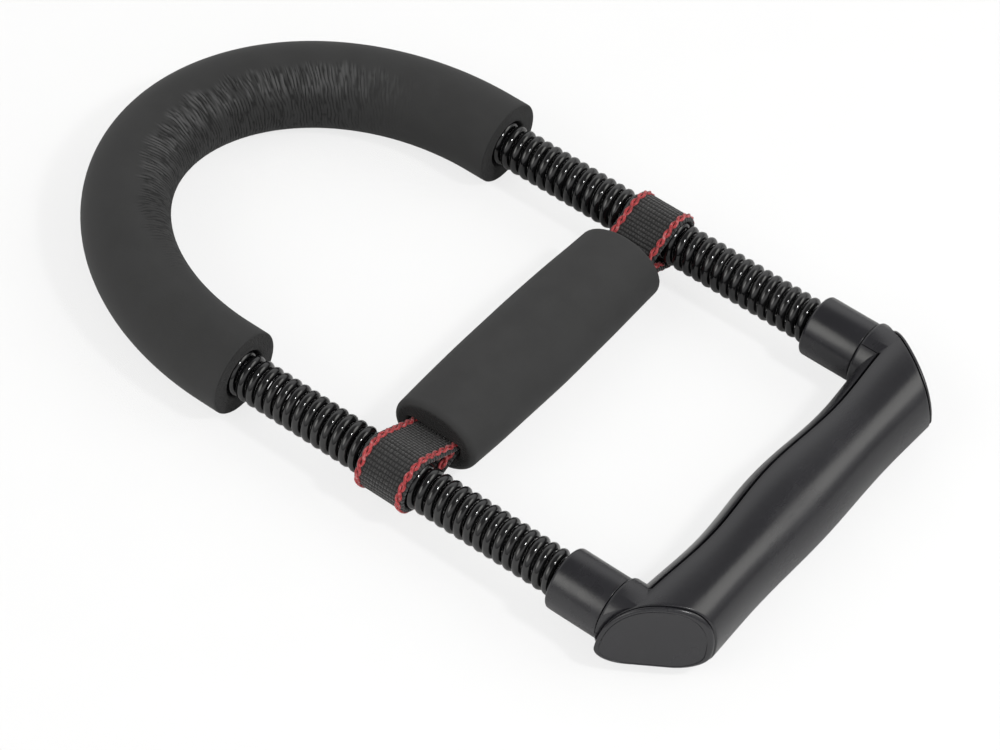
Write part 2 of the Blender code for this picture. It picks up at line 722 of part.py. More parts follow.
def build_screw(name, x, y, parent, material):
    """A screw that pulls the shells together, with a cross-shaped recess in its head."""
    under = GRIP_BOTTOM + SCREW_SUNK
    neck = under + SCREW_HEAD_HEIGHT
    tip = neck + SCREW_LENGTH
    head = SCREW_HEAD_DIAMETER / 2
    shank = SCREW_DIAMETER / 2
    profile = [(under, head - SCREW_HEAD_EDGE), (under + SCREW_HEAD_EDGE, head), (neck, head)]
    profile += [(neck, shank), (tip - SCREW_DIAMETER, shank), (tip, SCREW_TIP_DIAMETER / 2)]
    data = turned_solid(name, profile, (x, y, 0.0), "Z", ROUND_SIDES)
    screw = add_object(name, data, parent, [material])
    arm = SCREW_RECESS_LENGTH / 2
    half_arm = SCREW_RECESS_WIDTH / 2
    for along_x, along_y in ((arm, half_arm), (half_arm, arm)):
        low = (x - along_x, y - along_y, under - SCREW_RECESS_DEPTH)
        high = (x + along_x, y + along_y, under + SCREW_RECESS_DEPTH)
        boolean(screw, box_mesh("recess", low, high), "DIFFERENCE")
    shade(screw.data)


def build_end_cap(name, side, parent, material):
    """A plate let into the mitred end, flush with its rim, with a plug that fits inside the shells."""
    plug = GRIP_WALL + SLIP
    plate = CAP_RIM + SLIP
    rings = [
        grip_ring(side, inset=plug, pull=(CAP_THICKNESS + CAP_PLUG) * END_SLOPE),
        grip_ring(side, inset=plug, pull=CAP_THICKNESS * END_SLOPE),
        grip_ring(side, inset=plate, pull=CAP_THICKNESS * END_SLOPE),
        grip_ring(side, inset=plate, pull=CAP_EDGE * END_SLOPE),
        grip_ring(side, inset=plate + CAP_EDGE),
    ]
    cap = add_object(name, loft_mesh(name, rings), parent, [material])
    shade(cap.data)


# Strap and pad


def strap_path(offset):
    """The loop of webbing seen along the springs, as (y, z) points, pushed out by offset."""
    radius = SPRING_RADIUS + SPRING_SLIP + offset
    level = WEBBING_LAYER_GAP / 2 + offset
    pad_end = PAD_LENGTH / 2
    reach = SIDE - pad_end
    distance = math.hypot(reach, level)
    lean = math.asin(min(1.0, radius / distance)) + math.atan2(-level, reach)
    turn_from = math.pi / 2 + lean
    half = [(0.0, level), (pad_end, level)]
    for index in range(STRAP_TURN_STEPS + 1):
        angle = turn_from - 2 * turn_from * index / STRAP_TURN_STEPS
        half.append((SIDE + radius * math.cos(angle), radius * math.sin(angle)))
    half.append((pad_end, -level))
    other = [(-y, -z) for y, z in half]
    return half + other


def build_strap(parent, material):
    inner = strap_path(0.0)
    outer = strap_path(WEBBING_THICKNESS)
    low = PAD_CENTRE - WEBBING_WIDTH / 2
    high = PAD_CENTRE + WEBBING_WIDTH / 2
    rings = []
    for (y0, z0), (y1, z1) in zip(inner, outer):
        rings.append([(low, y0, z0), (low, y1, z1), (high, y1, z1), (high, y0, z0)])
    strap = add_object("strap_webbing", loft_mesh("strap_webbing", rings, closed=True), parent, [material])
    shade(strap.data)


def pad_stations():
    """Places along the pad, with how far it has grown to its full girth at each, from 0 to 1."""
    straight = PAD_LENGTH / 2 - PAD_END_ROUNDING
    end = []
    for step in range(PAD_END_STEPS):
        angle = math.pi / 2 * step / PAD_END_STEPS
        end.append((straight + PAD_END_ROUNDING * math.cos(angle), math.sin(angle)))
    middle = [(straight * (1 - 2 * step / PAD_STEPS), 1.0) for step in range(PAD_STEPS + 1)]
    return end + middle + [(-y, grown) for y, grown in reversed(end)]


def build_pad(parent, material):
    """A foam roll with a slightly crowned middle and rounded ends, slotted for the webbing."""
    half = PAD_LENGTH / 2
    rings = []
    for y, grown in pad_stations():
        loss = PAD_CROWN * (1 - math.cos(math.pi * y / PAD_LENGTH)) + PAD_END_ROUNDING * (1 - grown)
        ring = []
        for index in range(PAD_SIDES):
            angle = 2 * math.pi * (index + 0.5) / PAD_SIDES
            x = PAD_CENTRE + (PAD_WIDTH / 2 - loss) * math.cos(angle)
            ring.append((x, y, (PAD_HEIGHT / 2 - loss) * math.sin(angle)))
        rings.append(ring)
    pad = add_object("pad_foam", loft_mesh("pad_foam", rings), parent, [material])
    width = WEBBING_WIDTH / 2 + SLIP
    low = (PAD_CENTRE - width, -half - OVERSHOOT, -PAD_SLOT_HALF)
    high = (PAD_CENTRE + width, half + OVERSHOOT, PAD_SLOT_HALF)
    boolean(pad, box_mesh("slot", low, high), "DIFFERENCE")
    shade(pad.data)


def main():
    clear_scene()
    foam = make_material("foam_charcoal", (0.055, 0.055, 0.054), 0.85)
    webbing = make_material("webbing_black", (0.040, 0.038, 0.037), 0.80)
    wire = make_material("spring_black", (0.012, 0.012, 0.013), 0.22, 0.4)
    moulding = make_material("moulding_black", (0.062, 0.061, 0.066), 0.30)
    steel = make_material("steel_plain", (0.55, 0.55, 0.56), 0.35, 1.0)
    dark_steel = make_material("steel_blackened", (0.06, 0.06, 0.06), 0.40, 1.0)

    frame = make_empty("exerciser_frame", (FRAME_X, 0.0, FRAME_Z))
    springs = make_empty("springs_pivot", (ARCH_PIVOT, 0.0, 0.0), frame)
    pad = make_empty("pad_slide", (PAD_CENTRE - ARCH_PIVOT, 0.0, 0.0), springs)
    grip = make_empty("grip_pivot", (GRIP_PIVOT - ARCH_PIVOT, 0.0, 0.0), springs)

    build_arch_rod(frame, steel)
    build_arch_foam(frame, foam)
    build_grip_rod(grip, steel)
    build_shells(grip, moulding)
    for number, (x, y) in enumerate(screw_places(), start=1):
        build_screw(f"grip_screw_{number}", x, y, grip, dark_steel)
    for name, side in (("right", -1), ("left", 1)):
        arch_pin = ARCH_COLLAR_FACE - COLLAR_LENGTH / 2
        grip_pin = GRIP_COLLAR_FACE + COLLAR_LENGTH / 2
        faces = (ARCH_COLLAR_FACE, ARCH_COLLAR_BACK)
        build_collar(f"arch_collar_{name}", *faces, ROD_BORE + ROD_DRIFT, side, frame, steel)
        build_pin(f"arch_pin_{name}", arch_pin, side, frame, steel)
        build_spring(f"spring_{name}", side, springs, wire)
        faces = (GRIP_COLLAR_FACE, GRIP_COLLAR_BACK)
        build_collar(f"grip_collar_{name}", *faces, ROD_BORE, side, grip, steel)
        build_pin(f"grip_pin_{name}", grip_pin, side, grip, steel)
        build_socket(f"socket_{name}", side, grip, moulding)
        build_end_cap(f"end_cap_{name}", side, grip, moulding)
    build_strap(pad, webbing)
    build_pad(pad, foam)
    bpy.context.view_layer.update()


main()
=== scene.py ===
"""Dressed scene of a spring wrist exerciser, laid out as an add-on.

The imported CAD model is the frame. The drawing's origin lies midway between the two springs, where they
leave the foam: X runs along the springs to the grip, Y across to the left spring, Z up, all in metres.
"""
import math

import bmesh
import bpy
import numpy as np
from mathutils import Matrix, Vector, noise


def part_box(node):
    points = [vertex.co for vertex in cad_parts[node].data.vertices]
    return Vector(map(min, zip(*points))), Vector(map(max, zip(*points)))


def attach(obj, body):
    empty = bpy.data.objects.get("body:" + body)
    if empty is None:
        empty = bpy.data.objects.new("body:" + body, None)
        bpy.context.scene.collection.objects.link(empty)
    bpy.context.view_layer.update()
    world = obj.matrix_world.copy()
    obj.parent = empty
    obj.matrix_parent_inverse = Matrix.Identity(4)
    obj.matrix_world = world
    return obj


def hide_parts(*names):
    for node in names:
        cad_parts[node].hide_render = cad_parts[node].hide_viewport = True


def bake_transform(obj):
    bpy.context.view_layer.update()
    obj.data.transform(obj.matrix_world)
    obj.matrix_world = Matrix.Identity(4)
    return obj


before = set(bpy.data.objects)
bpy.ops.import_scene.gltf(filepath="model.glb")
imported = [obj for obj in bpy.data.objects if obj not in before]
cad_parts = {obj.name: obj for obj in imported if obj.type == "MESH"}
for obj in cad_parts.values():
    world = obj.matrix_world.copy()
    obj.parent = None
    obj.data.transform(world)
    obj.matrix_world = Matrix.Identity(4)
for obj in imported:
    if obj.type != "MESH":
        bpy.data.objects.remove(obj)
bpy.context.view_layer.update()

bl_info = {
    "name": "Spring Wrist Exerciser",
    "version": (1, 0, 0),
    "blender": (4, 5, 0),
    "location": "View3D > Sidebar > Exerciser",
    "description": "Builds the dressed wrist exerciser round its CAD frame",
    "category": "Object",
}

# Places taken from the frame
FOAM_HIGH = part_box("arch_foam")[1]
SPRING_LOW, SPRING_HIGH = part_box("spring_left")
STRAP_LOW, STRAP_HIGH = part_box("strap_webbing")
ORIGIN = Vector((FOAM_HIGH.x, 0.0, (SPRING_LOW.z + SPRING_HIGH.z) / 2))
SIDE = (SPRING_LOW.y + SPRING_HIGH.y) / 2
SPRING_RADIUS = (SPRING_HIGH.z - SPRING_LOW.z) / 2
STRAP_X = (STRAP_LOW.x + STRAP_HIGH.x) / 2 - ORIGIN.x
SIDES = (("left", 1), ("right", -1))
STEEL_NODES = (
    "arch_rod", "arch_collar_left", "arch_collar_right", "arch_pin_left", "arch_pin_right",
    "grip_rod", "grip_collar_left", "grip_collar_right", "grip_pin_left", "grip_pin_right",
)

# Clearances between pieces, and the radius of the bores that the bent rods lie in
SLIP = 0.0003
SEAT_GAP = 0.0003
STRAP_SLIP = 0.0004
ROD_BORE = 0.0045

# How far a cutting body reaches past what it cuts
OVERSHOOT = 0.0050

# Foam sleeve: the length at each end that has no creases, and the rings and sides of its skin
PLAIN_END = 0.030
SLEEVE_SPACING = 0.00028
SLEEVE_SIDES = 92

# Spring wire: points for each turn and sides of the wire
WIRE_POINTS = 28
WIRE_SIDES = 14

# Foam pad: sides of its skin, how fast its unevenness changes across and along it, the radius that this is
# measured against, and how square the slot's mouth is (1 is an ellipse)
PAD_SIDES = 96
PAD_LUMPS = (60.0, 38.0)
PAD_RADIUS = 0.016
MOUTH_POWER = 0.28

# Chain stitch: its height over the webbing's outside, its depth inside where a spring presses on it, how far
# it comes out again where none does, how far its threads rise and fall on either side, and its points
STITCH_LIFT = 0.00012
STITCH_SUNK = 0.00055
STITCH_LOOSE = 0.00087
STITCH_RISE = 0.00032
STITCH_RISE_INSIDE = 0.00012
STITCH_SPACING = 0.0006
STITCH_POINTS = 20
STITCH_SIDES = 8

# Grip: the socket and seats behind each spring, and the round shoulder that carries its socket
COLLAR_LENGTH = 0.0050
SOCKET_FLOOR = 0.0031
SOCKET_EDGE = 0.0012
SOCKET_BEVEL = 0.0003
SHOULDER_LENGTH = 0.0014
SHOULDER_RADIUS = 0.0127
SHOULDER_EDGE = 0.0011
SHOULDER_REACH = 0.0100

# Grip: the power of the crown's curve, the flat share of the bottom, how far the crown drops at the finger
# grooves, how far the ends reach past the springs' axes, and the steps of the crown and of one lower corner,
# fine ones and the coarse ones of the hollow
CROWN_POWER = 2.30
FLAT_SHARE = 0.38
CROWN_DROP = 0.0006
OVERHANG = 0.0141
FINE = (60, 12)
COARSE = (24, 6)

# Grip: the lip of the lower shell, and the step down on the palm's side
LIP_DEPTH = 0.0064
LIP_DRAFT = 0.0020
LIP_HEIGHT = 0.0118
LIP_DROP = 0.0078
LIP_END = 0.0060
LIP_END_DRAFT = 0.0006

# Grip: what is inside it, which is ribs, screw bosses, the bent rod and the end plates' plugs
RIB_PLACES = (-0.055, -0.022, 0.022, 0.055)
RIB_HALF = 0.0012
BOSS_RADIUS = 0.0035
ROD_LINE = 0.0110
ROD_BEND = 0.0100
PLUG_LENGTH = 0.0030

# Screws: their row, head and shank, the head's crown as (depth, share of the radius), and the cross in it
SCREW_COUNT = 3
SCREW_PITCH = 0.0440
SCREW_SHIFT = 0.0028
HEAD_DEPTH = 0.0012
HEAD_LENGTH = 0.0022
HEAD_RADIUS = 0.0028
SHANK_LENGTH = 0.0180
SHANK_STRAIGHT = 0.0150
SHANK_RADIUS = 0.0015
TIP_RADIUS = 0.0003
SCREW_CROWN = ((0.0, 0.35), (0.0001, 0.72), (0.0003, 0.90), (0.0006, 1.0))
CROSS_ARM = (0.0017, 0.0005)
CROSS_DEPTH = 0.0011

# Camera of the photograph: its place in metres, and its angles
CAMERA_PLACE = Vector((0.4762, -0.7416, 0.9513))
CAMERA_AZIMUTH = math.radians(31.78)
CAMERA_ELEVATION = math.radians(47.70)
CAMERA_ROLL = math.radians(7.01)

# Light: where the lamp hangs and how wide it is, the ways to the two soft boxes and how they fade, and
# how much of the floor the camera looks through
LAMP_PLACE = Vector((0.602, 0.018, 0.798)) * 1.10
LAMP_WIDTH = 0.13
FAR_BOX_WAY = (0.53, 0.57, 0.63)
NEAR_BOX_WAY = (-0.35, -0.72, 0.60)
BOX_FADE = (0.925, 0.985)
BOX_TINT = (1.0, 0.99, 0.94)
FLOOR_CLEAR = 0.76


def size(name, description, default, **more):
    return bpy.props.FloatProperty(
        name=name, description=description, default=default, min=0.0, unit="LENGTH", precision=5, **more
    )


def colour(name, description, default):
    return bpy.props.FloatVectorProperty(
        name=name, description=description, default=default, size=3, min=0.0, max=1.0, subtype="COLOR"
    )


def strength(name, description, default):
    return bpy.props.FloatProperty(name=name, description=description, default=default, min=0.0)


def turn(name, description, degrees):
    return bpy.props.FloatProperty(
        name=name, description=description, default=math.radians(degrees), subtype="ANGLE"
    )


class FoamSettings(bpy.types.PropertyGroup):
    diameter: size("Sleeve diameter", "Outside diameter of the foam sleeve", 0.0324)
    depth: size("Bend depth", "How far the bend reaches behind its two legs", 0.0892)
    leg: size("Leg", "Straight length at each end of the sleeve", 0.0090)
    flat: size("Flat", "How much the sleeve is flattened where it lies on the table", 0.0005)
    rounding: size("End rounding", "Rounding of the cut ends", 0.0007)
    bore: size("Spring bore", "Radius of the hole that the spring goes into", 0.00925)
    bore_depth: size("Bore depth", "How deep that hole is", 0.0132)
    crease_pitch: size("Crease pitch", "Usual distance between two creases of the bend", 0.00150)
    crease_length: size("Crease length", "Usual length of one crease", 0.0042)
    crease_depth: size("Crease depth", "Depth of the deepest creases", 0.00036)
    slant: strength("Crease slant", "How far the creases lean along the bend, for each unit round it", 0.20)
    cell: size("Foam cell", "Width of one cell of the foam", 0.00050)
    skin: colour("Skin colour", "Colour of the foam's outer skin", (0.0285, 0.0285, 0.0287))
    cut: colour("Cut colour", "Colour of the cut end faces", (0.0115, 0.0115, 0.0116))


class SpringSettings(bpy.types.PropertyGroup):
    wire: size("Wire diameter", "Diameter of the spring wire", 0.0035)
    pitch: size("Pitch", "Distance from one turn to the next", 0.0041)
    shown: size("Shown length", "Length between the foam and the socket", 0.1377)
    in_foam: size("In the foam", "Length that goes into the foam", 0.0070)
    in_socket: size("In the socket", "Length that goes into the socket", 0.0122)
    hinge: size("Hinge place", "Distance of each hinge from the foam or the socket", 0.01928)
    curve: size("Curve length", "Length over which the spring bends at each hinge", 0.0320)
    paint: colour("Paint", "Colour of the black paint", (0.0035, 0.0035, 0.0038))


class StrapSettings(bpy.types.PropertyGroup):
    width: size("Webbing width", "Width of the webbing", 0.0210)
    thickness: size("Webbing thickness", "Thickness of one layer", 0.0016)
    gap: size("Layer gap", "Gap between the two layers inside the pad", 0.0008)
    yarn: size("Weft pitch", "Distance between two ribs of the weave", 0.00160)
    warp: size("Warp pitch", "Distance between two warp yarns", 0.00120)
    rib: size("Rib height", "How far a rib stands out of the webbing", 0.00019)
    webbing: colour("Webbing colour", "Colour of the black webbing", (0.0140, 0.0136, 0.0136))
    thread: size("Thread diameter", "Diameter of the chain stitch's thread", 0.00120)
    link: size("Link length", "Length of one link of the chain stitch", 0.0041)
    link_width: size("Link width", "Width of a link, from thread centre to thread centre", 0.00146)
    inset: size("Stitch inset", "Distance of the chain stitch from the webbing's edge", 0.0018)
    thread_colour: colour("Thread colour", "Colour of the red thread", (0.44, 0.026, 0.030))


class PadSettings(bpy.types.PropertyGroup):
    length: size("Pad length", "Length of the foam roll", 0.1120)
    width: size("Pad width", "Width of the foam roll", 0.0370)
    height: size("Pad height", "Height of the foam roll", 0.0280)
    crown: size("Crown", "How much slimmer the roll is at its ends", 0.0012)
    rounding: size("End rounding", "Rounding of the roll's ends", 0.0024)
    slot: size("Slot height", "Height of the slot that the webbing runs through", 0.0059)
    ripple: size("Ripple", "How uneven the foam's surface is", 0.00022)


class GripSettings(bpy.types.PropertyGroup):
    width: size("Grip width", "Width of the grip from its inner to its outer side", 0.0327)
    top: size("Crown height", "Height of the crown over the springs' axes", 0.0146)
    widest: size("Widest line", "How far below the springs' axes the grip is widest", 0.0045)
    bottom: size("Bottom", "How far below the springs' axes the flat bottom is", 0.0107)
    mitre: turn("Mitre", "Angle of the mitred ends, seen from above", 34.5)
    lean: turn("Lean", "How far the ends lean inward towards the crown", 13.0)
    groove_inner: size("Inner groove", "Depth of the two finger grooves", 0.0022)
    groove_outer: size("Outer groove", "Depth of the grooves on the palm's side", 0.0009)
    wall: size("Wall", "Wall of the two shells", 0.0026)
    parting: size("Parting gap", "Gap between the two shells", 0.00105)
    rim: size("Rim rounding", "Rounding round the shells' mitred ends", 0.00035)
    plate: size("End plate", "Thickness of the end plates", 0.0011)
    plate_gap: size("End plate gap", "Dark joint between an end plate and the shells", 0.00055)
    plate_inset: size("End plate inset", "How much smaller the end plates are all round", 0.00030)
    plate_rim: size("End plate rim", "Width of the rounded rim of an end plate", 0.0012)
    plate_drop: size("End plate drop", "How far that rim falls back towards its outline", 0.0008)
    socket: size("Socket diameter", "Outside diameter of a socket", 0.0232)
    plastic: colour("Plastic", "Colour of the black plastic", (0.013, 0.0127, 0.0152))


class StageSettings(bpy.types.PropertyGroup):
    floor: colour("Floor colour", "Colour of the pale floor", (0.92, 0.92, 0.92))
    extent: size("Floor size", "Length of one side of the floor", 6.0)
    focal: bpy.props.FloatProperty(
        name="Focal length", description="Focal length of the camera in millimetres",
        default=130.82, min=1.0, subtype="DISTANCE_CAMERA",
    )
    sky_low: strength("Low light", "Strength of the light below the soft boxes", 1.0)
    sky_high: strength("High light", "Strength of the light overhead", 0.25)
    box_far: strength("Far soft box", "Strength of the soft box on the far side", 1.95)
    box_near: strength("Near soft box", "Strength of the soft box on the near side", 2.4)
    spark: strength("Lamp", "Strength of the lamp that glints on the springs", 75.0)


# Meshes


def mesh_from(name, rings, closed=False):
    """Skin rings of equal length into a mesh in the row frame. The rings are in the drawing's frame."""
    count = len(rings[0])
    points = np.array([[tuple(point) for point in ring] for ring in rings], float).reshape(-1, 3)
    points += np.array(ORIGIN)
    index = np.arange(len(rings) * count).reshape(len(rings), count)
    following = np.roll(index, -1, axis=0) if closed else index[1:]
    first = index if closed else index[:-1]
    quads = np.stack(
        [first, np.roll(first, -1, axis=1), np.roll(following, -1, axis=1), following], axis=-1
    ).reshape(-1, 4)
    faces = quads.tolist()
    if not closed:
        faces.append(index[0][::-1].tolist())
        faces.append(index[-1].tolist())
    data = bpy.data.meshes.new(name)
    data.from_pydata(points.tolist(), [], faces)
    turn_outward(data)
    return data


def turn_outward(data):
    work = bmesh.new()
    work.from_mesh(data)
    bmesh.ops.recalc_face_normals(work, faces=work.faces)
    work.to_mesh(data)
    work.free()


def write_attribute(data, name, values):
    """Keep one vector or number for each vertex, which a material reads back."""
    values = np.array(values, np.float32)
    if values.ndim == 1:
        values = np.repeat(values[:, None], 3, axis=1)
    attribute = data.attributes.new(name, "FLOAT_VECTOR", "POINT")
    attribute.data.foreach_set("vector", values.ravel())


def smooth(data, degrees=35.0):
    data.shade_smooth()
    data.set_sharp_from_angle(angle=math.radians(degrees))


def add_object(name, data):
    item = bpy.data.objects.new(name, data)
    bpy.context.scene.collection.objects.link(item)
    return item


def finish_piece(item, material, body, slot, *nodes):
    """Give a finished mesh its material and hand it to the frame in place of CAD nodes."""
    if len(item.data.polygons) == 0:
        raise RuntimeError(f"{item.name} has no faces")
    item.data.materials.clear()
    item.data.materials.append(material)
    item.data.polygons.foreach_set("material_index", [0] * len(item.data.polygons))
    if body:
        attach(item, body)
    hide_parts(*nodes)


def take_evaluated(item):
    """Turn what the modifiers make of an object into its own plain mesh."""
    bpy.context.view_layer.update()
    graph = bpy.context.evaluated_depsgraph_get()
    result = bpy.data.meshes.new_from_object(
        item.evaluated_get(graph), preserve_all_data_layers=True, depsgraph=graph
    )
    item.modifiers.clear()
    before = item.data
    item.data = result
    result.name = item.name
    bpy.data.meshes.remove(before)


def take_mesh(item):
    """Remove a helper object and keep its mesh."""
    data = item.data
    bpy.data.objects.remove(item, do_unlink=True)
    return data


def cut(target, tool_data, operation):
    """Cut or join with a helper body, and keep the result as the target's own mesh."""
    tool = add_object("tool_body", tool_data)
    modifier = target.modifiers.new("shape", "BOOLEAN")
    modifier.operation = operation
    modifier.solver = "MANIFOLD"
    modifier.object = tool
    take_evaluated(target)
    bpy.data.meshes.remove(take_mesh(tool))
    if len(target.data.polygons) == 0:
        raise RuntimeError(f"{target.name} is empty after a cut")


def turned(name, profile, centre, axis="X", sides=128, closed=False):
    """Turn (along, radius) points about an axis through centre. A closed profile leaves a bore."""
    rings = []
    for along, radius in profile:
        ring = []
        for index in range(sides):
            angle = 2 * math.pi * index / sides
            first, second = radius * math.cos(angle), radius * math.sin(angle)
            offset = (along, first, second) if axis == "X" else (first, second, along)
            ring.append(Vector(centre) + Vector(offset))
        rings.append(ring)
    return mesh_from(name, rings, closed=closed)


def quarter(steps):
    """Sines and cosines of even steps from nothing to a right angle."""
    angles = [math.pi / 2 * step / steps for step in range(steps + 1)]
    return [(math.sin(angle), math.cos(angle)) for angle in angles]


def reaches(steps):
    """Even steps from -1 to 1."""
    return [2 * index / steps - 1 for index in range(steps + 1)]


def between_rings(first, second, part):
    """The ring that lies this part of the way from the first one to the second."""
    return [tuple((1 - part) * a + part * b for a, b in zip(*pair)) for pair in zip(first, second)]


def rounded_corner(face, radius, edge, inward):
    """Profile points round a turned body's outer corner, from its side to its face."""
    return [(face + inward * edge * (1 - sine), radius - edge * (1 - cosine)) for sine, cosine in quarter(6)]


def block(name, low, high):
    x0, y0, z0 = low
    x1, y1, z1 = high
    bottom = [(x0, y0, z0), (x1, y0, z0), (x1, y1, z0), (x0, y1, z0)]
    return mesh_from(name, [bottom, [(x, y, z1) for x, y, _ in bottom]])


def evenly(points, spacing, cyclic=False):
    """Walk along a dense line of points and put new ones on it at an even spacing."""
    line = np.array(points, float)
    if cyclic:
        line = np.vstack([line, line[:1]])
    walked = np.concatenate([[0.0], np.cumsum(np.linalg.norm(np.diff(line, axis=0), axis=1))])
    count = max(2, round(walked[-1] / spacing))
    places = np.linspace(0.0, walked[-1], count + 1)
    if cyclic:
        places = places[:-1]
    return np.stack([np.interp(places, walked, line[:, k]) for k in range(line.shape[1])], axis=1), places


# Node trees


def add_node(tree, kind, inputs=None, **settings):
    """Add a node, set its own settings, and fill its inputs with values or with other nodes' outputs."""
    item = tree.nodes.new(kind)
    for key, value in settings.items():
        setattr(item, key, value)
    for key, value in (inputs or {}).items():
        if isinstance(value, bpy.types.NodeSocket):
            tree.links.new(value, item.inputs[key])
        else:
            item.inputs[key].default_value = value
    return item


def calc(tree, operation, *values):
    return add_node(tree, "ShaderNodeMath", dict(enumerate(values)), operation=operation).outputs[0]


def times(tree, first, second):
    return calc(tree, "MULTIPLY", first, second)


def plus(tree, first, second):
    return calc(tree, "ADD", first, second)


def vector_calc(tree, operation, first, second):
    """Work on two vectors, or on a vector and the number that scales it."""
    inputs = {0: first, "Scale" if operation == "SCALE" else 1: second}
    outputs = add_node(tree, "ShaderNodeVectorMath", inputs, operation=operation).outputs
    return outputs["Value" if operation == "DOT_PRODUCT" else "Vector"]


def ramp(tree, value, low, high, start=0.0, end=1.0):
    """Carry value smoothly from start to end as it goes from low to high."""
    inputs = {"Value": value, "From Min": low, "From Max": high, "To Min": start, "To Max": end}
    return add_node(tree, "ShaderNodeMapRange", inputs, interpolation_type="SMOOTHSTEP").outputs["Result"]


def spread(tree, spots, start=0.0, end=1.0):
    """Stretch the usual range of a noise so that it runs from start to end."""
    return ramp(tree, spots, 0.3, 0.7, start, end)


def blend_colour(tree, factor, first, second):
    item = add_node(tree, "ShaderNodeMix", data_type="RGBA")
    for socket, value in ((item.inputs[0], factor), (item.inputs[6], first), (item.inputs[7], second)):
        if isinstance(value, bpy.types.NodeSocket):
            tree.links.new(value, socket)
        else:
            socket.default_value = (*value, 1.0)
    return item.outputs[2]


def lighter(rgb, factor):
    return tuple(min(1.0, part * factor) for part in rgb)


def mottled(tree, spots, rgb, darkest, lightest):
    """A colour that wanders from a darker to a lighter tone with the spots of a noise."""
    return blend_colour(tree, spread(tree, spots), lighter(rgb, darkest), lighter(rgb, lightest))


def noise_at(tree, place, scale, detail=3.0, roughness=0.55, distortion=0.0):
    """Noise with this many spots to the metre, alike in all directions or with a number for each."""
    scales = (scale,) * 3 if isinstance(scale, float) else scale
    mapped = add_node(tree, "ShaderNodeMapping", {"Vector": place, "Scale": scales}, vector_type="POINT")
    inputs = {"Vector": mapped.outputs["Vector"], "Scale": 1.0, "Detail": detail, "Roughness": roughness}
    inputs["Distortion"] = distortion
    return add_node(tree, "ShaderNodeTexNoise", inputs).outputs["Fac"]


def own_place(tree):
    """Where a point is on its piece, in the row frame."""
    return add_node(tree, "ShaderNodeTexCoord").outputs["Object"]


def attribute_of(tree, name):
    """One of the piece's own attributes, to be read as a vector or as a number."""
    return add_node(tree, "ShaderNodeAttribute", attribute_name=name).outputs


def split(tree, vector):
    return add_node(tree, "ShaderNodeSeparateXYZ", {"Vector": vector}).outputs


def start_material(name):
    material = bpy.data.materials.new(name)
    material.use_nodes = True
    return material, material.node_tree, material.node_tree.nodes["Principled BSDF"]


def dress(tree, shader, base, rough, height, depth, fixed):
    """Feed a shader its colour, roughness and bump. What is the same all over is set on its own sockets."""
    bump = add_node(tree, "ShaderNodeBump", {"Height": height, "Distance": depth, "Strength": 1.0})
    for socket, value in (("Base Color", base), ("Roughness", rough), ("Normal", bump.outputs["Normal"])):
        tree.links.new(value, shader.inputs[socket])
    for socket, value in fixed.items():
        shader.inputs[socket].default_value = value


def foam_material(name, settings, tone, creased):
    """Closed-cell foam: a matte skin with fine cells, darker and coarser where it was cut. On the sleeve,
    painted highlight lightens the crease ridges and painted shade darkens the crease valleys.
    """
    material, tree, shader = start_material(name)
    place = attribute_of(tree, "unbent")["Vector"]
    is_cut = attribute_of(tree, "cut_face")["Fac"]
    cell = 1.0 / settings.cell
    cells, pores = [
        add_node(tree, "ShaderNodeTexVoronoi", {"Vector": place, "Scale": scale}).outputs["Distance"]
        for scale in (cell, cell * 0.55)
    ]
    cloudy = noise_at(tree, place, 90.0, 4.0)
    skin = mottled(tree, cloudy, settings.skin, 0.86 * tone, 1.14 * tone)
    open_cells = ramp(tree, pores, 0.1, 0.6)
    raw = blend_colour(tree, open_cells, lighter(settings.cut, 0.5), lighter(settings.cut, 1.4))
    height = times(tree, cells, ramp(tree, is_cut, 0.0, 1.0, 0.10, 0.22))
    height = plus(tree, height, times(tree, open_cells, times(tree, is_cut, 0.9)))
    if creased:
        folds, ridges = attribute_of(tree, "crease")["Fac"], attribute_of(tree, "ridge_highlight")["Fac"]
        # Painted highlight: the crease ridges are lightened
        skin = blend_colour(tree, ridges, skin, lighter(settings.skin, 2.7))
        # Painted shade: the crease valleys are darkened nearly to black; they also sink the bump
        skin = blend_colour(tree, folds, skin, lighter(settings.skin, 0.05))
        height = calc(tree, "SUBTRACT", height, times(tree, folds, 0.6))
    base = blend_colour(tree, is_cut, skin, raw)
    fixed = {"Specular IOR Level": 0.35, "Sheen Weight": 0.05, "Sheen Roughness": 0.5}
    dress(tree, shader, base, spread(tree, cloudy, 0.78, 0.92), height, 0.00022, fixed)
    return material


def wire_material(name, settings):
    """Black gloss paint on the spring wire, rubbed a little duller on the crests of the turns."""
    material, tree, shader = start_material(name)
    place = own_place(tree)
    parts = split(tree, place)
    across = calc(tree, "SUBTRACT", calc(tree, "ABSOLUTE", parts["Y"]), SIDE)
    up = calc(tree, "SUBTRACT", parts["Z"], ORIGIN.z)
    squares = plus(tree, calc(tree, "POWER", across, 2.0), calc(tree, "POWER", up, 2.0))
    crest = ramp(tree, calc(tree, "SQRT", squares), SPRING_RADIUS - settings.wire * 0.20, SPRING_RADIUS)
    blotches = noise_at(tree, place, 260.0, 4.0)
    rubbed = times(tree, crest, ramp(tree, blotches, 0.42, 0.68))
    base = blend_colour(tree, rubbed, tuple(settings.paint), lighter(settings.paint, 2.0))
    rough = plus(tree, spread(tree, blotches, 0.04, 0.08), times(tree, rubbed, 0.06))
    dress(tree, shader, base, rough, noise_at(tree, place, 900.0, 2.0), 0.000025, {"IOR": 1.55})
    return material


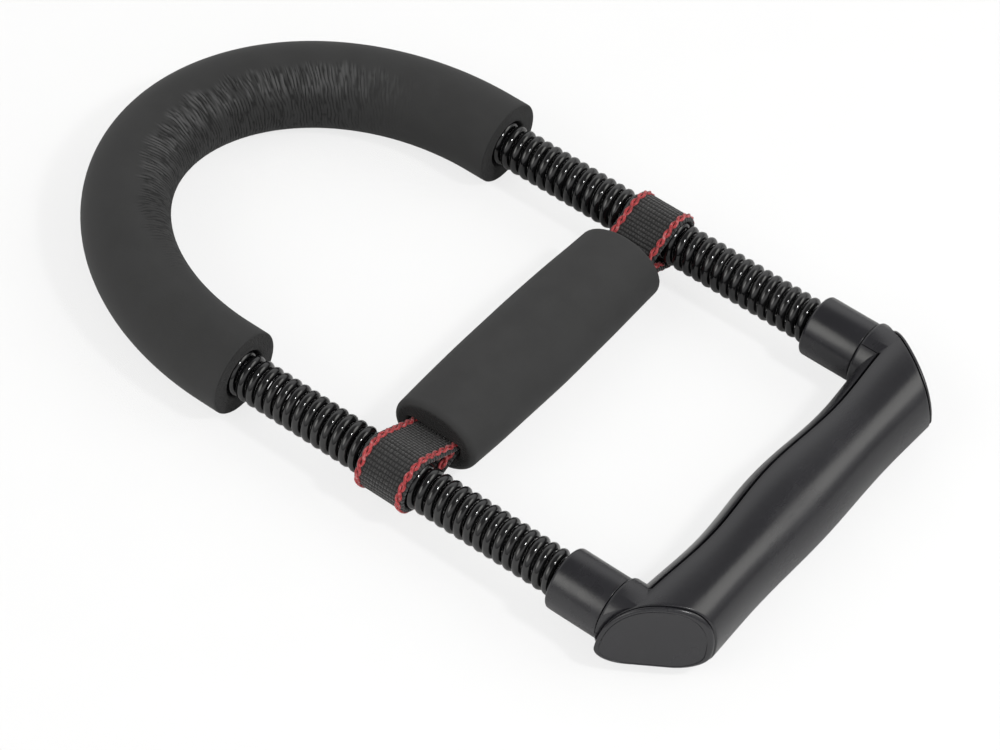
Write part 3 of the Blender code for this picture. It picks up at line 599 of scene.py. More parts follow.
def webbing_material(name, settings):
    """Woven webbing: ribs across the band, crossed by finer warp lines, with holes between. Painted shade
    darkens the holes and painted highlight lightens the yarn tops.
    """
    material, tree, shader = start_material(name)
    place = attribute_of(tree, "laid")["Vector"]
    run = split(tree, place)
    loose = noise_at(tree, place, 420.0, 2.0)
    loose = times(tree, calc(tree, "SUBTRACT", loose, 0.5), 0.0009)
    weft = times(tree, plus(tree, run["X"], times(tree, loose, 0.5)), math.pi / settings.yarn)
    warp = times(tree, plus(tree, run["Y"], loose), math.pi / settings.warp)
    weft, warp = calc(tree, "SINE", weft), calc(tree, "SINE", warp)
    yarns = times(tree, ramp(tree, calc(tree, "ABSOLUTE", weft), 0.10, 0.95),
                  ramp(tree, calc(tree, "ABSOLUTE", warp), 0.05, 0.90))
    fibres = noise_at(tree, place, (1200.0, 3200.0, 1200.0))
    height = plus(tree, yarns, times(tree, times(tree, weft, warp), 0.22))
    height = plus(tree, height, times(tree, calc(tree, "SUBTRACT", fibres, 0.5), 0.5))
    worn = noise_at(tree, place, 160.0)
    # Painted shade and highlight: the colour follows the weave's height, nearly black in the holes between
    # the yarns and lighter on their tops
    base = blend_colour(tree, ramp(tree, height, 0.05, 0.95), lighter(settings.webbing, 0.05),
                        lighter(settings.webbing, 2.3))
    base = blend_colour(tree, ramp(tree, worn, 0.45, 0.75, 0.0, 0.20), base, lighter(settings.webbing, 1.9))
    fixed = {"Sheen Weight": 0.18, "Sheen Roughness": 0.4}
    dress(tree, shader, base, spread(tree, worn, 0.62, 0.82), height, 0.00032, fixed)
    return material


def thread_material(name, settings):
    """Red polyester thread with fine fibres, with painted shade in dark patches and painted highlight in pale
    pink patches of a noise.
    """
    material, tree, shader = start_material(name)
    place, red = own_place(tree), settings.thread_colour
    fibres = noise_at(tree, place, 3400.0, 3.0, 0.6, 0.6)
    tone = noise_at(tree, place, 760.0, 2.0)
    base = mottled(tree, fibres, red, 0.55, 1.25)
    # Painted shade: dark patches of the noise stand for the thread's crevices. Painted highlight: pale pink
    # patches stand for its lit tops
    base = blend_colour(tree, ramp(tree, tone, 0.30, 0.52, 0.75, 0.0), base, lighter(red, 0.22))
    pale = tuple(part * 0.75 + 0.21 for part in red)
    base = blend_colour(tree, ramp(tree, tone, 0.50, 0.72, 0.0, 0.70), base, pale)
    fixed = {"Sheen Weight": 0.35, "Sheen Roughness": 0.35}
    dress(tree, shader, base, spread(tree, tone, 0.42, 0.60), fibres, 0.00012, fixed)
    return material


def plastic_material(name, settings):
    """Moulded black plastic: soft gloss, a faint orange peel and the fine scratches of handling."""
    material, tree, shader = start_material(name)
    place = own_place(tree)
    hazy = noise_at(tree, place, (55.0, 30.0, 55.0), 4.0)
    peel = noise_at(tree, place, 520.0, 2.0)
    scratch = noise_at(tree, place, (2600.0, 70.0, 2600.0), 2.0, 0.5, 1.2)
    scratch = calc(tree, "ABSOLUTE", calc(tree, "SUBTRACT", scratch, 0.5))
    scratches = times(tree, ramp(tree, scratch, 0.0, 0.012, 1.0, 0.0), ramp(tree, hazy, 0.50, 0.62))
    base = mottled(tree, hazy, settings.plastic, 0.90, 1.10)
    base = blend_colour(tree, times(tree, scratches, 0.25), base, lighter(settings.plastic, 1.8))
    rough = plus(tree, spread(tree, hazy, 0.21, 0.29), times(tree, scratches, 0.08))
    height = calc(tree, "SUBTRACT", peel, times(tree, scratches, 0.25))
    dress(tree, shader, base, rough, height, 0.00003, {"IOR": 1.50})
    return material


def steel_material(name, tint, darkest, lightest):
    """Drawn steel: fine lines along the bar, and patches where the surface is duller."""
    material, tree, shader = start_material(name)
    place = own_place(tree)
    lines = noise_at(tree, place, (150.0, 2400.0, 2400.0))
    patches = noise_at(tree, place, 140.0)
    rough = plus(tree, spread(tree, lines, darkest, lightest), times(tree, patches, 0.1))
    dress(tree, shader, mottled(tree, patches, tint, 0.82, 1.10), rough, lines, 0.00004, {"Metallic": 1.0})
    return material


# Geometry node trees


def start_tree(name, **sockets):
    """A geometry tree with named inputs, listed by kind. Returns the tree and its input node's outputs."""
    tree = bpy.data.node_groups.new(name, "GeometryNodeTree")
    tree.interface.new_socket("Geometry", in_out="INPUT", socket_type="NodeSocketGeometry")
    for kind, labels in sockets.items():
        for label in labels:
            tree.interface.new_socket(label, in_out="INPUT", socket_type=f"NodeSocket{kind}")
    tree.interface.new_socket("Geometry", in_out="OUTPUT", socket_type="NodeSocketGeometry")
    return tree, add_node(tree, "NodeGroupInput").outputs


def end_tree(tree, geometry, material):
    real = add_node(tree, "GeometryNodeRealizeInstances", {"Geometry": geometry}).outputs["Geometry"]
    dressed = add_node(tree, "GeometryNodeSetMaterial", {"Geometry": real, "Material": material})
    add_node(tree, "NodeGroupOutput", {"Geometry": dressed.outputs["Geometry"]})


def run_tree(item, tree, values):
    """Run a geometry tree on an object with these named inputs, and keep the result as its mesh."""
    modifier = item.modifiers.new("build", "NODES")
    modifier.node_group = tree
    known = {
        entry.name: entry.identifier
        for entry in tree.interface.items_tree
        if entry.item_type == "SOCKET" and entry.in_out == "INPUT"
    }
    for label, value in values.items():
        modifier[known[label]] = value
    take_evaluated(item)


def vector_of(tree, x, y, z):
    return add_node(tree, "ShaderNodeCombineXYZ", {"X": x, "Y": y, "Z": z}).outputs["Vector"]


def resampled(tree, curve, count):
    inputs = {"Curve": curve, "Count": count}
    return add_node(tree, "GeometryNodeResampleCurve", inputs, mode="COUNT").outputs["Curve"]


def tube_along(tree, curve, radius, sides):
    """A smooth tube with closed ends along a curve."""
    profile = add_node(tree, "GeometryNodeCurvePrimitiveCircle", {"Resolution": sides, "Radius": radius})
    inputs = {"Curve": curve, "Profile Curve": profile.outputs["Curve"], "Fill Caps": True}
    tube = add_node(tree, "GeometryNodeCurveToMesh", inputs).outputs["Mesh"]
    return add_node(tree, "GeometryNodeSetShadeSmooth", {"Geometry": tube}).outputs["Geometry"]


def coil_tree():
    """One unbroken wire: a straight tang, the turns and a straight tang, between two places on the axis."""
    tree, given = start_tree(
        "spring_coil",
        Float=("From", "To", "Coil Start", "Coil End", "Pitch", "Coil Radius", "Wire Radius"),
        Vector=("Axis",), Int=("Points per Turn", "Sides"), Material=("Material",),
    )
    ends = {"Start": vector_of(tree, given["From"], 0.0, 0.0), "End": vector_of(tree, given["To"], 0.0, 0.0)}
    line = add_node(tree, "GeometryNodeCurvePrimitiveLine", ends).outputs["Curve"]
    turns = calc(tree, "DIVIDE", calc(tree, "SUBTRACT", given["To"], given["From"]), given["Pitch"])
    count = calc(tree, "CEIL", times(tree, turns, given["Points per Turn"]))
    dense = resampled(tree, line, plus(tree, count, 1.0))
    x = split(tree, add_node(tree, "GeometryNodeInputPosition").outputs["Position"])["X"]
    wound = calc(tree, "MINIMUM", calc(tree, "MAXIMUM", x, given["Coil Start"]), given["Coil End"])
    angle = calc(tree, "DIVIDE", calc(tree, "SUBTRACT", wound, given["Coil Start"]), given["Pitch"])
    angle = times(tree, angle, 2 * math.pi)
    y = times(tree, calc(tree, "COSINE", angle), given["Coil Radius"])
    z = times(tree, calc(tree, "SINE", angle), given["Coil Radius"])
    moved = vector_calc(tree, "ADD", vector_of(tree, x, y, z), given["Axis"])
    coil = add_node(tree, "GeometryNodeSetPosition", {"Geometry": dense, "Position": moved})
    tube = tube_along(tree, coil.outputs["Geometry"], given["Wire Radius"], given["Sides"])
    end_tree(tree, tube, given["Material"])
    return tree


def chain_tree():
    """A chain stitch along a closed line across X: two threads that cross over each other at each link."""
    tree, given = start_tree(
        "chain_stitch",
        Float=("Half Width", "Half Height", "Thread Radius"),
        Int=("Turns", "Points per Turn", "Sides"), Material=("Material",),
    )
    line = add_node(tree, "GeometryNodeMeshToCurve", {"Mesh": given["Geometry"]}).outputs["Curve"]
    dense = resampled(tree, line, times(tree, given["Turns"], given["Points per Turn"]))
    along = add_node(tree, "GeometryNodeSplineParameter").outputs["Factor"]
    tangent = add_node(tree, "GeometryNodeInputTangent").outputs["Tangent"]
    outward = vector_calc(tree, "CROSS_PRODUCT", (1.0, 0.0, 0.0), tangent)
    threads = []
    for phase in (0.0, math.pi):
        angle = plus(tree, times(tree, times(tree, along, given["Turns"]), 2 * math.pi), phase)
        sideways = times(tree, calc(tree, "COSINE", angle), given["Half Width"])
        lift = times(tree, calc(tree, "SINE", angle), given["Half Height"])
        raised = vector_calc(tree, "SCALE", outward, lift)
        offset = vector_calc(tree, "ADD", raised, vector_of(tree, sideways, 0.0, 0.0))
        thread = add_node(tree, "GeometryNodeSetPosition", {"Geometry": dense, "Offset": offset})
        threads.append(tube_along(tree, thread.outputs["Geometry"], given["Thread Radius"], given["Sides"]))
    both = add_node(tree, "GeometryNodeJoinGeometry")
    for tube in threads:
        tree.links.new(tube, both.inputs["Geometry"])
    end_tree(tree, both.outputs["Geometry"], given["Material"])
    return tree


def row_tree():
    """Copies of one screw in a row along Y."""
    tree, given = start_tree(
        "screw_row", Int=("Count",), Float=("Pitch",), Vector=("First",), Material=("Material",)
    )
    inputs = {"Count": given["Count"], "Start Location": given["First"]}
    inputs["Offset"] = vector_of(tree, 0.0, given["Pitch"], 0.0)
    line = add_node(tree, "GeometryNodeMeshLine", inputs, mode="OFFSET").outputs["Mesh"]
    inputs = {"Points": line, "Instance": given["Geometry"]}
    screws = add_node(tree, "GeometryNodeInstanceOnPoints", inputs).outputs["Instances"]
    end_tree(tree, screws, given["Material"])
    return tree


# Foam sleeve


def arch_line(foam):
    """The sleeve's middle line as points, directions and distances, from the right leg to the left one."""
    leg_steps, bend_steps = 50, 1200
    dense = [(-foam.leg * step / leg_steps, -SIDE) for step in range(leg_steps)]
    for step in range(bend_steps + 1):
        angle = math.pi * step / bend_steps
        dense.append((-foam.leg - foam.depth * math.sin(angle), -SIDE * math.cos(angle)))
    dense += [(-foam.leg * (1 - step / leg_steps), SIDE) for step in range(1, leg_steps + 1)]
    points, places = evenly(dense, SLEEVE_SPACING)
    directions = np.gradient(points, axis=0)
    directions /= np.linalg.norm(directions, axis=1)[:, None]
    directions[0], directions[-1] = (-1.0, 0.0), (1.0, 0.0)
    return points, directions, places


def sleeve_outline(radius, foam):
    """A circle whose bottom is flat where the sleeve lies on the table, as (sideways, up) points."""
    flat = foam.diameter / 2 - foam.flat
    start = math.acos(min(1.0, flat / radius)) if flat < radius else math.pi / SLEEVE_SIDES
    span = 2 * math.pi - 2 * start
    angles = [-math.pi / 2 + start + span * index / (SLEEVE_SIDES - 1) for index in range(SLEEVE_SIDES)]
    return [(radius * math.cos(angle), radius * math.sin(angle)) for angle in angles]


def bore_outline(radius, sides):
    angles = [-math.pi / 2 + 2 * math.pi * (index + 0.5) / sides for index in range(sides)]
    return [(radius * math.cos(angle), radius * math.sin(angle)) for angle in angles]


def smooth_ramp(value, low, high):
    share = np.clip((value - low) / (high - low), 0.0, 1.0)
    return share * share * (3 - 2 * share)


def lattice_noise(across, down, seed):
    """Smooth noise from 0 to 1 over a plane, drawn between the random values of a fixed lattice."""
    columns, rows = 241, 53
    values = np.random.default_rng(seed).random((columns, rows))
    column, row = np.floor(across).astype(int), np.floor(down).astype(int)
    u, v = across - column, down - row
    u, v = u * u * (3 - 2 * u), v * v * (3 - 2 * v)

    def corner(right, below):
        return values[(column + right) % columns, (row + below) % rows]

    upper = corner(0, 0) * (1 - u) + corner(1, 0) * u
    lower = corner(0, 1) * (1 - u) + corner(1, 1) * u
    return upper * (1 - v) + lower * v


def creases(foam, place, length, side, up):
    """Valleys and ridge highlights from 0 to 1 at points of the unbent skin: short folds across the bend's
    inside. The valleys sink the skin and carry painted shade; the ridge highlights are painted highlight on
    the lit upper side of the bend.
    """
    inward = np.arctan2(-side, up)
    girth = inward * foam.diameter / 2
    along = place - foam.slant * girth
    pitch, run = foam.crease_pitch, foam.crease_length

    def patches(long, wide, seed, offset=20):
        return lattice_noise(along / long, girth / wide + offset, seed)

    uneven = 0.22 * (patches(2 * pitch, 0.030, 11, 5) - 0.5)
    where = smooth_ramp(inward, 0.20 + uneven, 0.46 + uneven) * (1 - smooth_ramp(inward, 1.75, 2.5))
    where *= smooth_ramp(min(place, length - place), PLAIN_END, 0.085)
    drift = 1.3 * patches(0.011, 0.0075, 3)
    drift += 0.70 * patches(0.0040, 0.0036, 5)
    wave = np.abs(np.sin(np.pi * (along / pitch + drift)))
    valley = np.clip(1 - wave / 0.62, 0.0, 1.0)
    valley *= 0.34 + 0.66 * smooth_ramp(patches(1.2 * pitch, run, 7), 0.25, 0.60)
    valley = np.maximum(valley, 0.7 * smooth_ramp(patches(0.50 * pitch, 0.6 * run, 9), 0.62, 0.88))
    # Painted highlight: the ridges are lightened on the upper side of the bend, from about 75 mm along it,
    # where the lamp lights them
    lit = smooth_ramp(patches(0.6 * pitch, 0.9 * run, 13), 0.15, 0.75) * smooth_ramp(place, 0.075, 0.120)
    crest = (1 - smooth_ramp(inward, 0.80, 1.20)) * lit
    return where * valley, where * crest * (1 - valley)


def lay_ring(point, direction, outline):
    """Lay an outline of (sideways, up) points square across the arch. Sideways is away from the bend."""
    return [(point[0] - direction[1] * s, point[1] + direction[0] * s, up) for s, up in outline]


def sleeve_mesh(foam):
    radius = foam.diameter / 2
    points, directions, places = arch_line(foam)
    last = places[-1]
    rings, laid, cut_face, valleys, crests = [], [], [], [], []

    def lay(place, outline, is_cut, valley=0.0, ridge_highlight=0.0):
        point = [np.interp(place, places, points[:, k]) for k in range(2)]
        direction = [np.interp(place, places, directions[:, k]) for k in range(2)]
        rings.append(lay_ring(point, direction, outline))
        laid.extend((place, s, up) for s, up in outline)
        for kept, value in ((cut_face, is_cut), (valleys, valley), (crests, ridge_highlight)):
            kept.extend(np.broadcast_to(value, len(outline)))

    def end_rings():
        """From the bore's mouth over the cut face and round its edge, as (depth, ring, cut) triples."""
        mouth = bore_outline(foam.bore + 0.0006, SLEEVE_SIDES)
        small = sleeve_outline(radius - foam.rounding, foam)
        made = [(0.0006, bore_outline(foam.bore, SLEEVE_SIDES), 1.0)]
        made += [(0.0002, bore_outline(foam.bore + 0.0002, SLEEVE_SIDES), 1.0), (0.0, mouth, 1.0)]
        made += [(0.0, between_rings(mouth, small, part), 1.0) for part in (0.25, 0.5, 0.75)]
        for step, (sine, cosine) in enumerate(quarter(5)[:-1]):
            ring = sleeve_outline(radius - foam.rounding * (1 - sine), foam)
            made.append((foam.rounding * (1 - cosine), ring, 1.0 if step < 2 else 0.0))
        return made

    for depth, outline, is_cut in end_rings():
        lay(depth, outline, is_cut)
    skin = np.array(sleeve_outline(radius, foam))
    for index, place in enumerate(places):
        from_end = min(place, last - place)
        if from_end <= foam.rounding or (from_end < PLAIN_END and index % 4):
            continue
        valley, ridge_highlight = creases(foam, place, last, skin[:, 0], skin[:, 1])
        lowered = skin * (1 - valley * foam.crease_depth / radius)[:, None]
        lay(place, lowered.tolist(), 0.0, valley, ridge_highlight)
    for depth, outline, is_cut in reversed(end_rings()):
        lay(last - depth, outline, is_cut)
    wide, slim = bore_outline(foam.bore, SLEEVE_SIDES), bore_outline(ROD_BORE, SLEEVE_SIDES)
    lay(last - foam.bore_depth, wide, 1.0)
    for place in np.linspace(last - foam.bore_depth, foam.bore_depth, 90):
        lay(place, slim, 1.0)
    lay(foam.bore_depth, wide, 1.0)
    data = mesh_from("arch_sleeve", rings, closed=True)
    for name, values in (("unbent", laid), ("cut_face", cut_face), ("crease", valleys), ("ridge_highlight", crests)):
        write_attribute(data, name, values)
    smooth(data, 50.0)
    return data


# Strap and pad


def strap_line(strap, pad, spacing):
    """The loop of webbing seen along the springs, as evenly spaced (y, z) points and distances."""
    lift = strap.thickness / 2
    radius = SPRING_RADIUS + STRAP_SLIP + lift
    level = strap.gap / 2 + lift
    pad_end = pad.length / 2
    reach = SIDE - pad_end
    distance = math.hypot(reach, level)
    lean = math.asin(min(1.0, radius / distance)) + math.atan2(-level, reach)
    turn_from = math.pi / 2 + lean
    half = [(0.0, level), (pad_end, level)]
    steps = 120
    for index in range(steps + 1):
        angle = turn_from - 2 * turn_from * index / steps
        half.append((SIDE + radius * math.cos(angle), radius * math.sin(angle)))
    half.append((pad_end, -level))
    dense, _ = evenly(half + [(-y, -z) for y, z in half], 0.0001, cyclic=True)
    window = 25
    kernel = np.ones(window) / window
    wrapped = np.vstack([dense[-window:], dense, dense[:window]])
    soft = np.stack([np.convolve(wrapped[:, k], kernel, mode="same") for k in range(2)], axis=1)
    return evenly(soft[window:-window], spacing, cyclic=True)


def ways_along(line):
    """The direction of a closed line at each of its points."""
    along = np.roll(line, -1, axis=0) - np.roll(line, 1, axis=0)
    return along / np.linalg.norm(along, axis=1)[:, None]


def strap_section(strap):
    """The webbing's cross-section with round edges, as (across, height) points."""
    half, thick = strap.width / 2, strap.thickness / 2
    flat = half - thick
    steps = 12
    top = [(-flat + 2 * flat * index / steps, thick) for index in range(steps + 1)]
    edge = [(flat + thick * math.sin(a), thick * math.cos(a)) for a in (math.pi * k / 6 for k in range(1, 6))]
    return top + edge + [(-x, -z) for x, z in top] + [(-x, -z) for x, z in edge]


def strap_mesh(strap, pad):
    line, places = strap_line(strap, pad, strap.yarn / 4)
    section = strap_section(strap)
    ribs = round(places[-1] / strap.yarn)
    loop = places[-1] + places[1]
    rings, laid = [], []
    for (y, z), (dy, dz), place in zip(line, ways_along(line), places):
        rib = strap.rib * abs(math.sin(math.pi * ribs * place / loop))
        ring = []
        for across, height in section:
            lift = height + math.copysign(rib, height) * (abs(height) / (strap.thickness / 2)) ** 2
            ring.append((STRAP_X + across, y - dz * lift, z + dy * lift))
            laid.append((ribs * strap.yarn * place / loop, across, height))
        rings.append(ring)
    data = mesh_from("strap_loop", rings, closed=True)
    write_attribute(data, "laid", laid)
    smooth(data, 60.0)
    return data, loop


def pad_mesh(pad, strap):
    """A foam roll with a slightly crowned middle and rounded ends, slotted for the webbing."""
    half = pad.length / 2
    straight = half - pad.rounding
    slot_width = strap.width / 2 + 2 * SLIP
    outline = [2 * math.pi * (index + 0.5) / PAD_SIDES for index in range(PAD_SIDES)]

    def oval(y, loss):
        loss += pad.crown * (1 - math.cos(math.pi * y / pad.length))
        ring = []
        for angle in outline:
            x, z = (pad.width / 2 - loss) * math.cos(angle), (pad.height / 2 - loss) * math.sin(angle)
            lumps = noise.noise(Vector((x * PAD_LUMPS[0], y * PAD_LUMPS[1], z * PAD_LUMPS[0])))
            bulge = 1.0 + pad.ripple / PAD_RADIUS * lumps
            ring.append((x * bulge, y, z * bulge))
        return ring

    def mouth(y, flare=0.0):
        ring = []
        for angle in outline:
            across, up = math.cos(angle), math.sin(angle)
            x = (slot_width + flare) * math.copysign(abs(across) ** MOUTH_POWER, across)
            z = (pad.slot / 2 + flare) * math.copysign(abs(up) ** MOUTH_POWER, up)
            ring.append((x, y, z))
        return ring

    def end(sign):
        """From the slot's mouth over the cut end and round its edge, as (ring, cut) pairs."""
        inner, outer = mouth(sign * half, 0.0010), oval(sign * half, pad.rounding)
        made = [(mouth(sign * (half - 0.0012)), 1.0), (mouth(sign * (half - 0.0004), 0.0003), 1.0)]
        made += [(between_rings(inner, outer, part), 1.0) for part in (0.0, 0.33, 0.66)]
        for step, (sine, cosine) in enumerate(quarter(8)[:-1]):
            y = sign * (straight + pad.rounding * cosine)
            made.append((oval(y, pad.rounding * (1 - sine)), max(0.0, 1.0 - step / 3)))
        return made

    middle = [(oval(-straight * reach, 0.0), 0.0) for reach in reaches(90)]
    inside = [(mouth(-half + pad.length * index / 20), 1.0) for index in range(1, 20)]
    rows = end(1) + middle + end(-1)[::-1] + inside
    rings = [[(STRAP_X + x, y, z) for x, y, z in ring] for ring, _ in rows]
    data = mesh_from("pad_roll", rings, closed=True)
    write_attribute(data, "unbent", [(y, x, z) for ring, _ in rows for x, y, z in ring])
    write_attribute(data, "cut_face", [is_cut for ring, is_cut in rows for _ in ring])
    smooth(data, 60.0)
    return data


# Grip


class GripForm:
    """The form of the grip, worked out from the sizes in its settings."""

    def __init__(self):
        spring, grip = settings().spring, settings().grip
        self.grip = grip
        self.socket_face = spring.shown
        collar_face = spring.shown + spring.in_socket + SEAT_GAP
        self.socket_floor = collar_face + COLLAR_LENGTH + SEAT_GAP
        self.socket_back = self.socket_floor + SOCKET_FLOOR
        self.shoulder_face = self.socket_back + SEAT_GAP
        self.inner = self.shoulder_face + SHOULDER_LENGTH
        self.outer = self.inner + grip.width
        self.slope = math.sqrt(1 + math.tan(grip.mitre) ** 2 + math.tan(grip.lean) ** 2)
        self.low, self.high = -grip.bottom - OVERSHOOT, grip.top + OVERSHOOT
        screw_x = self.inner + grip.width * (1 + FLAT_SHARE) / 2 - SCREW_SHIFT
        first = -(SCREW_COUNT - 1) / 2
        self.screws = [(screw_x, SCREW_PITCH * (first + index)) for index in range(SCREW_COUNT)]

    def mitre_end(self, x, z):
        back = (x - self.inner) * math.tan(self.grip.mitre) + z * math.tan(self.grip.lean)
        return SIDE + OVERHANG - back

    def section(self, inset, crown_steps, corner_steps):
        """The D of the grip, as (across, height) points. across runs from -1 to 1."""
        grip = self.grip
        half = grip.width / 2
        narrowed = (half - inset) / half
        power = 2 / CROWN_POWER
        outline = []
        for index in range(crown_steps + 1):
            angle = math.pi * index / crown_steps
            across = math.copysign(abs(math.cos(angle)) ** power, math.cos(angle))
            rise = math.sin(angle) ** power if 0 < index < crown_steps else 0.0
            outline.append((narrowed * across, -grip.widest + (grip.top - inset + grip.widest) * rise))
        corner = []
        for sine, cosine in quarter(corner_steps)[1:]:
            across = FLAT_SHARE + (1 - FLAT_SHARE) * cosine
            corner.append((narrowed * across, -grip.widest - (grip.bottom - grip.widest - inset) * sine))
        return outline + [(-across, height) for across, height in corner] + corner[::-1]

    def dent(self, y):
        """0 at the middle and at the springs, 1 at the two finger grooves."""
        return 0.0 if abs(y) >= SIDE else (1 - math.cos(2 * math.pi * y / SIDE)) / 2

    def ring(self, reach, inset=0.0, pull=0.0, loss=0.0, steps=FINE):
        """A ring of the grip. reach runs from -1 to 1, pull draws it in along Y and loss makes it smaller."""
        grip = self.grip
        middle = (self.inner + self.outer) / 2
        scale = 1 - 2 * loss / grip.width
        points = []
        for across, height in self.section(inset, *steps):
            part = scale * across
            dent = self.dent(reach * (self.mitre_end(middle + part * grip.width / 2, height) - pull))
            near = self.inner + grip.groove_inner * dent
            far = self.outer - grip.groove_outer * dent
            x = (near + far) / 2 + part * (far - near) / 2
            z = scale * (height - CROWN_DROP * dent * max(0.0, height) / grip.top)
            points.append((x, reach * (self.mitre_end(x, z) - pull), z))
        return points

    def body(self):
        """The outer form of both shells, with its two ends rounded over behind the end plates."""
        edge = self.grip.rim
        behind = (self.grip.plate + self.grip.plate_gap) * self.slope

        def end(side):
            made = []
            for sine, cosine in quarter(5)[:-1]:
                pull = behind + edge * (1 - cosine) * self.slope
                made.append(self.ring(side, pull=pull, loss=edge * (1 - sine)))
            return made

        middle = [self.ring(reach, pull=behind + edge * self.slope) for reach in reaches(110)]
        return mesh_from("grip_body", end(-1.0) + middle + end(1.0)[::-1])

    def between_mitres(self, pull):
        rings = []
        near, far = self.socket_back - OVERSHOOT, self.outer + OVERSHOOT
        for side in (-1, 1):
            corners = ((near, self.low), (far, self.low), (far, self.high), (near, self.high))
            rings.append([(x, side * (self.mitre_end(x, z) - pull), z) for x, z in corners])
        return mesh_from("between_mitres", rings)

    def shoulder(self, side):
        """The round root behind a socket, trimmed where the grip is mitred."""
        profile = rounded_corner(self.shoulder_face, SHOULDER_RADIUS, SHOULDER_EDGE, 1)[::-1]
        profile.append((self.inner + SHOULDER_REACH, SHOULDER_RADIUS))
        root = add_object("shoulder", turned("shoulder", profile, (0.0, side * SIDE, 0.0)))
        behind = self.grip.plate + self.grip.plate_gap + self.grip.rim
        cut(root, self.between_mitres(behind * self.slope), "INTERSECT")
        return take_mesh(root)

    def rod_channel(self):
        """The bore for the bent rod, from one socket round both bends to the other."""
        start = self.socket_back - OVERSHOOT
        line = self.inner + ROD_LINE
        right = [((start, -SIDE), (1.0, 0.0))]
        for sine, cosine in quarter(8):
            place = (line - ROD_BEND + ROD_BEND * sine, -SIDE + ROD_BEND - ROD_BEND * cosine)
            right.append((place, (cosine, sine)))
        left = [((x, -y), (-dx, dy)) for (x, y), (dx, dy) in reversed(right)]
        outline = bore_outline(ROD_BORE, 32)
        return mesh_from("rod_channel", [lay_ring(place, way, outline) for place, way in right + left])

    def screw_hole(self, x, y):
        floor = -self.grip.bottom + HEAD_DEPTH + HEAD_LENGTH + SEAT_GAP
        profile = [(self.low, HEAD_RADIUS + SLIP), (floor, HEAD_RADIUS + SLIP)]
        profile += [(floor, SHANK_RADIUS + SLIP), (floor + SHANK_LENGTH, SHANK_RADIUS + SLIP)]
        return turned("screw_hole", profile, (x, y, 0.0), "Z", 32)

    def parting_ring(self, y, lip_height, gap):
        """A cut across all that lies above the parting line, which follows the finger grooves."""
        near, far = self.shoulder_face - OVERSHOOT, self.outer + OVERSHOOT
        wall_in = self.inner + self.grip.groove_inner * self.dent(y) + LIP_DEPTH
        wall_out = self.outer - 2 * self.grip.wall
        line = [(near, lip_height), (wall_in, lip_height), (wall_in + LIP_DRAFT, 0.0)]
        line += [(wall_out - LIP_DRAFT, 0.0), (wall_out, -LIP_DROP), (far, -LIP_DROP)]
        top = self.high + OVERSHOOT
        outline = [(x + gap, z + gap) for x, z in line] + [(far + gap, top), (near + gap, top)]
        return [(x, y, z) for x, z in outline]

    def parting(self, gap):
        """All that lies above the parting of the shells, drawn back by gap.

        The lower shell rises in a lip between the shoulders. At the shoulders the shells part midway.
        """
        reach = SIDE + OVERHANG + 2 * OVERSHOOT
        lip_end = SIDE - LIP_END + gap / 5
        raised = lip_end - LIP_END_DRAFT
        ends = [self.parting_ring(y, 0.0, gap / 5) for y in (-reach, -lip_end, lip_end, reach)]
        middle = [self.parting_ring(raised * part, LIP_HEIGHT, gap) for part in reaches(64)]
        return mesh_from("parting", ends[:2] + middle + ends[2:])

    def cavity(self):
        """What is hollow inside the shells, without their ribs and screw bosses."""
        chamber = [self.ring(1.1 * reach, self.grip.wall, steps=COARSE) for reach in reaches(40)]
        hollow = add_object("chamber", mesh_from("chamber", chamber))
        near, far = self.inner - OVERSHOOT, self.outer + OVERSHOOT
        for y in RIB_PLACES:
            rib = block("rib", (near, y - RIB_HALF, self.low), (far, y + RIB_HALF, self.high))
            cut(hollow, rib, "DIFFERENCE")
        for x, y in self.screws:
            boss = turned("boss", [(self.low, BOSS_RADIUS), (self.high, BOSS_RADIUS)], (x, y, 0.0), "Z", 32)
            cut(hollow, boss, "DIFFERENCE")
        return take_mesh(hollow)

    def shells(self):
        """Both halves of the grip as (name, object) pairs."""
        body = add_object("grip_body", self.body())
        for side in (-1, 1):
            cut(body, self.shoulder(side), "UNION")
        for hollow in [self.cavity(), self.rod_channel()] + [self.screw_hole(x, y) for x, y in self.screws]:
            cut(body, hollow, "DIFFERENCE")
        made = []
        half_gap = self.grip.parting / 2
        for name, gap, operation in (("upper", half_gap, "INTERSECT"), ("lower", -half_gap, "DIFFERENCE")):
            shell = add_object(f"grip_{name}_moulding", body.data.copy())
            cut(shell, self.parting(gap), operation)
            smooth(shell.data, 32.0)
            made.append((name, shell))
        bpy.data.meshes.remove(take_mesh(body))
        return made

    def cap(self, side):
        """The plate that closes a mitred end: plug, rounded rim and a fine groove just inside the rim."""
        grip = self.grip
        depths = (grip.plate + PLUG_LENGTH, grip.plate)
        rings = [self.ring(side, grip.wall + SLIP, depth * self.slope) for depth in depths]
        inset, face = grip.plate_inset, grip.plate_inset + grip.plate_rim
        corners = [(inset + 0.0001, grip.plate), (inset, grip.plate - 0.0001)]
        for sine, cosine in quarter(8):
            corners.append((face - grip.plate_rim * cosine, grip.plate_drop * (1 - sine)))
        groove = ((0.00020, 0.0), (0.00030, 0.00016), (0.00042, 0.00016), (0.00052, 0.0))
        corners += [(face + across, depth) for across, depth in groove]
        rings += [self.ring(side, pull=depth * self.slope, loss=loss) for loss, depth in corners]
        return mesh_from("end_plate", rings)


# Operators


def settings():
    return bpy.context.scene.exerciser


def in_row(x, y, z):
    """A place of the drawing's frame, in the row frame."""
    return tuple(ORIGIN + Vector((x, y, z)))


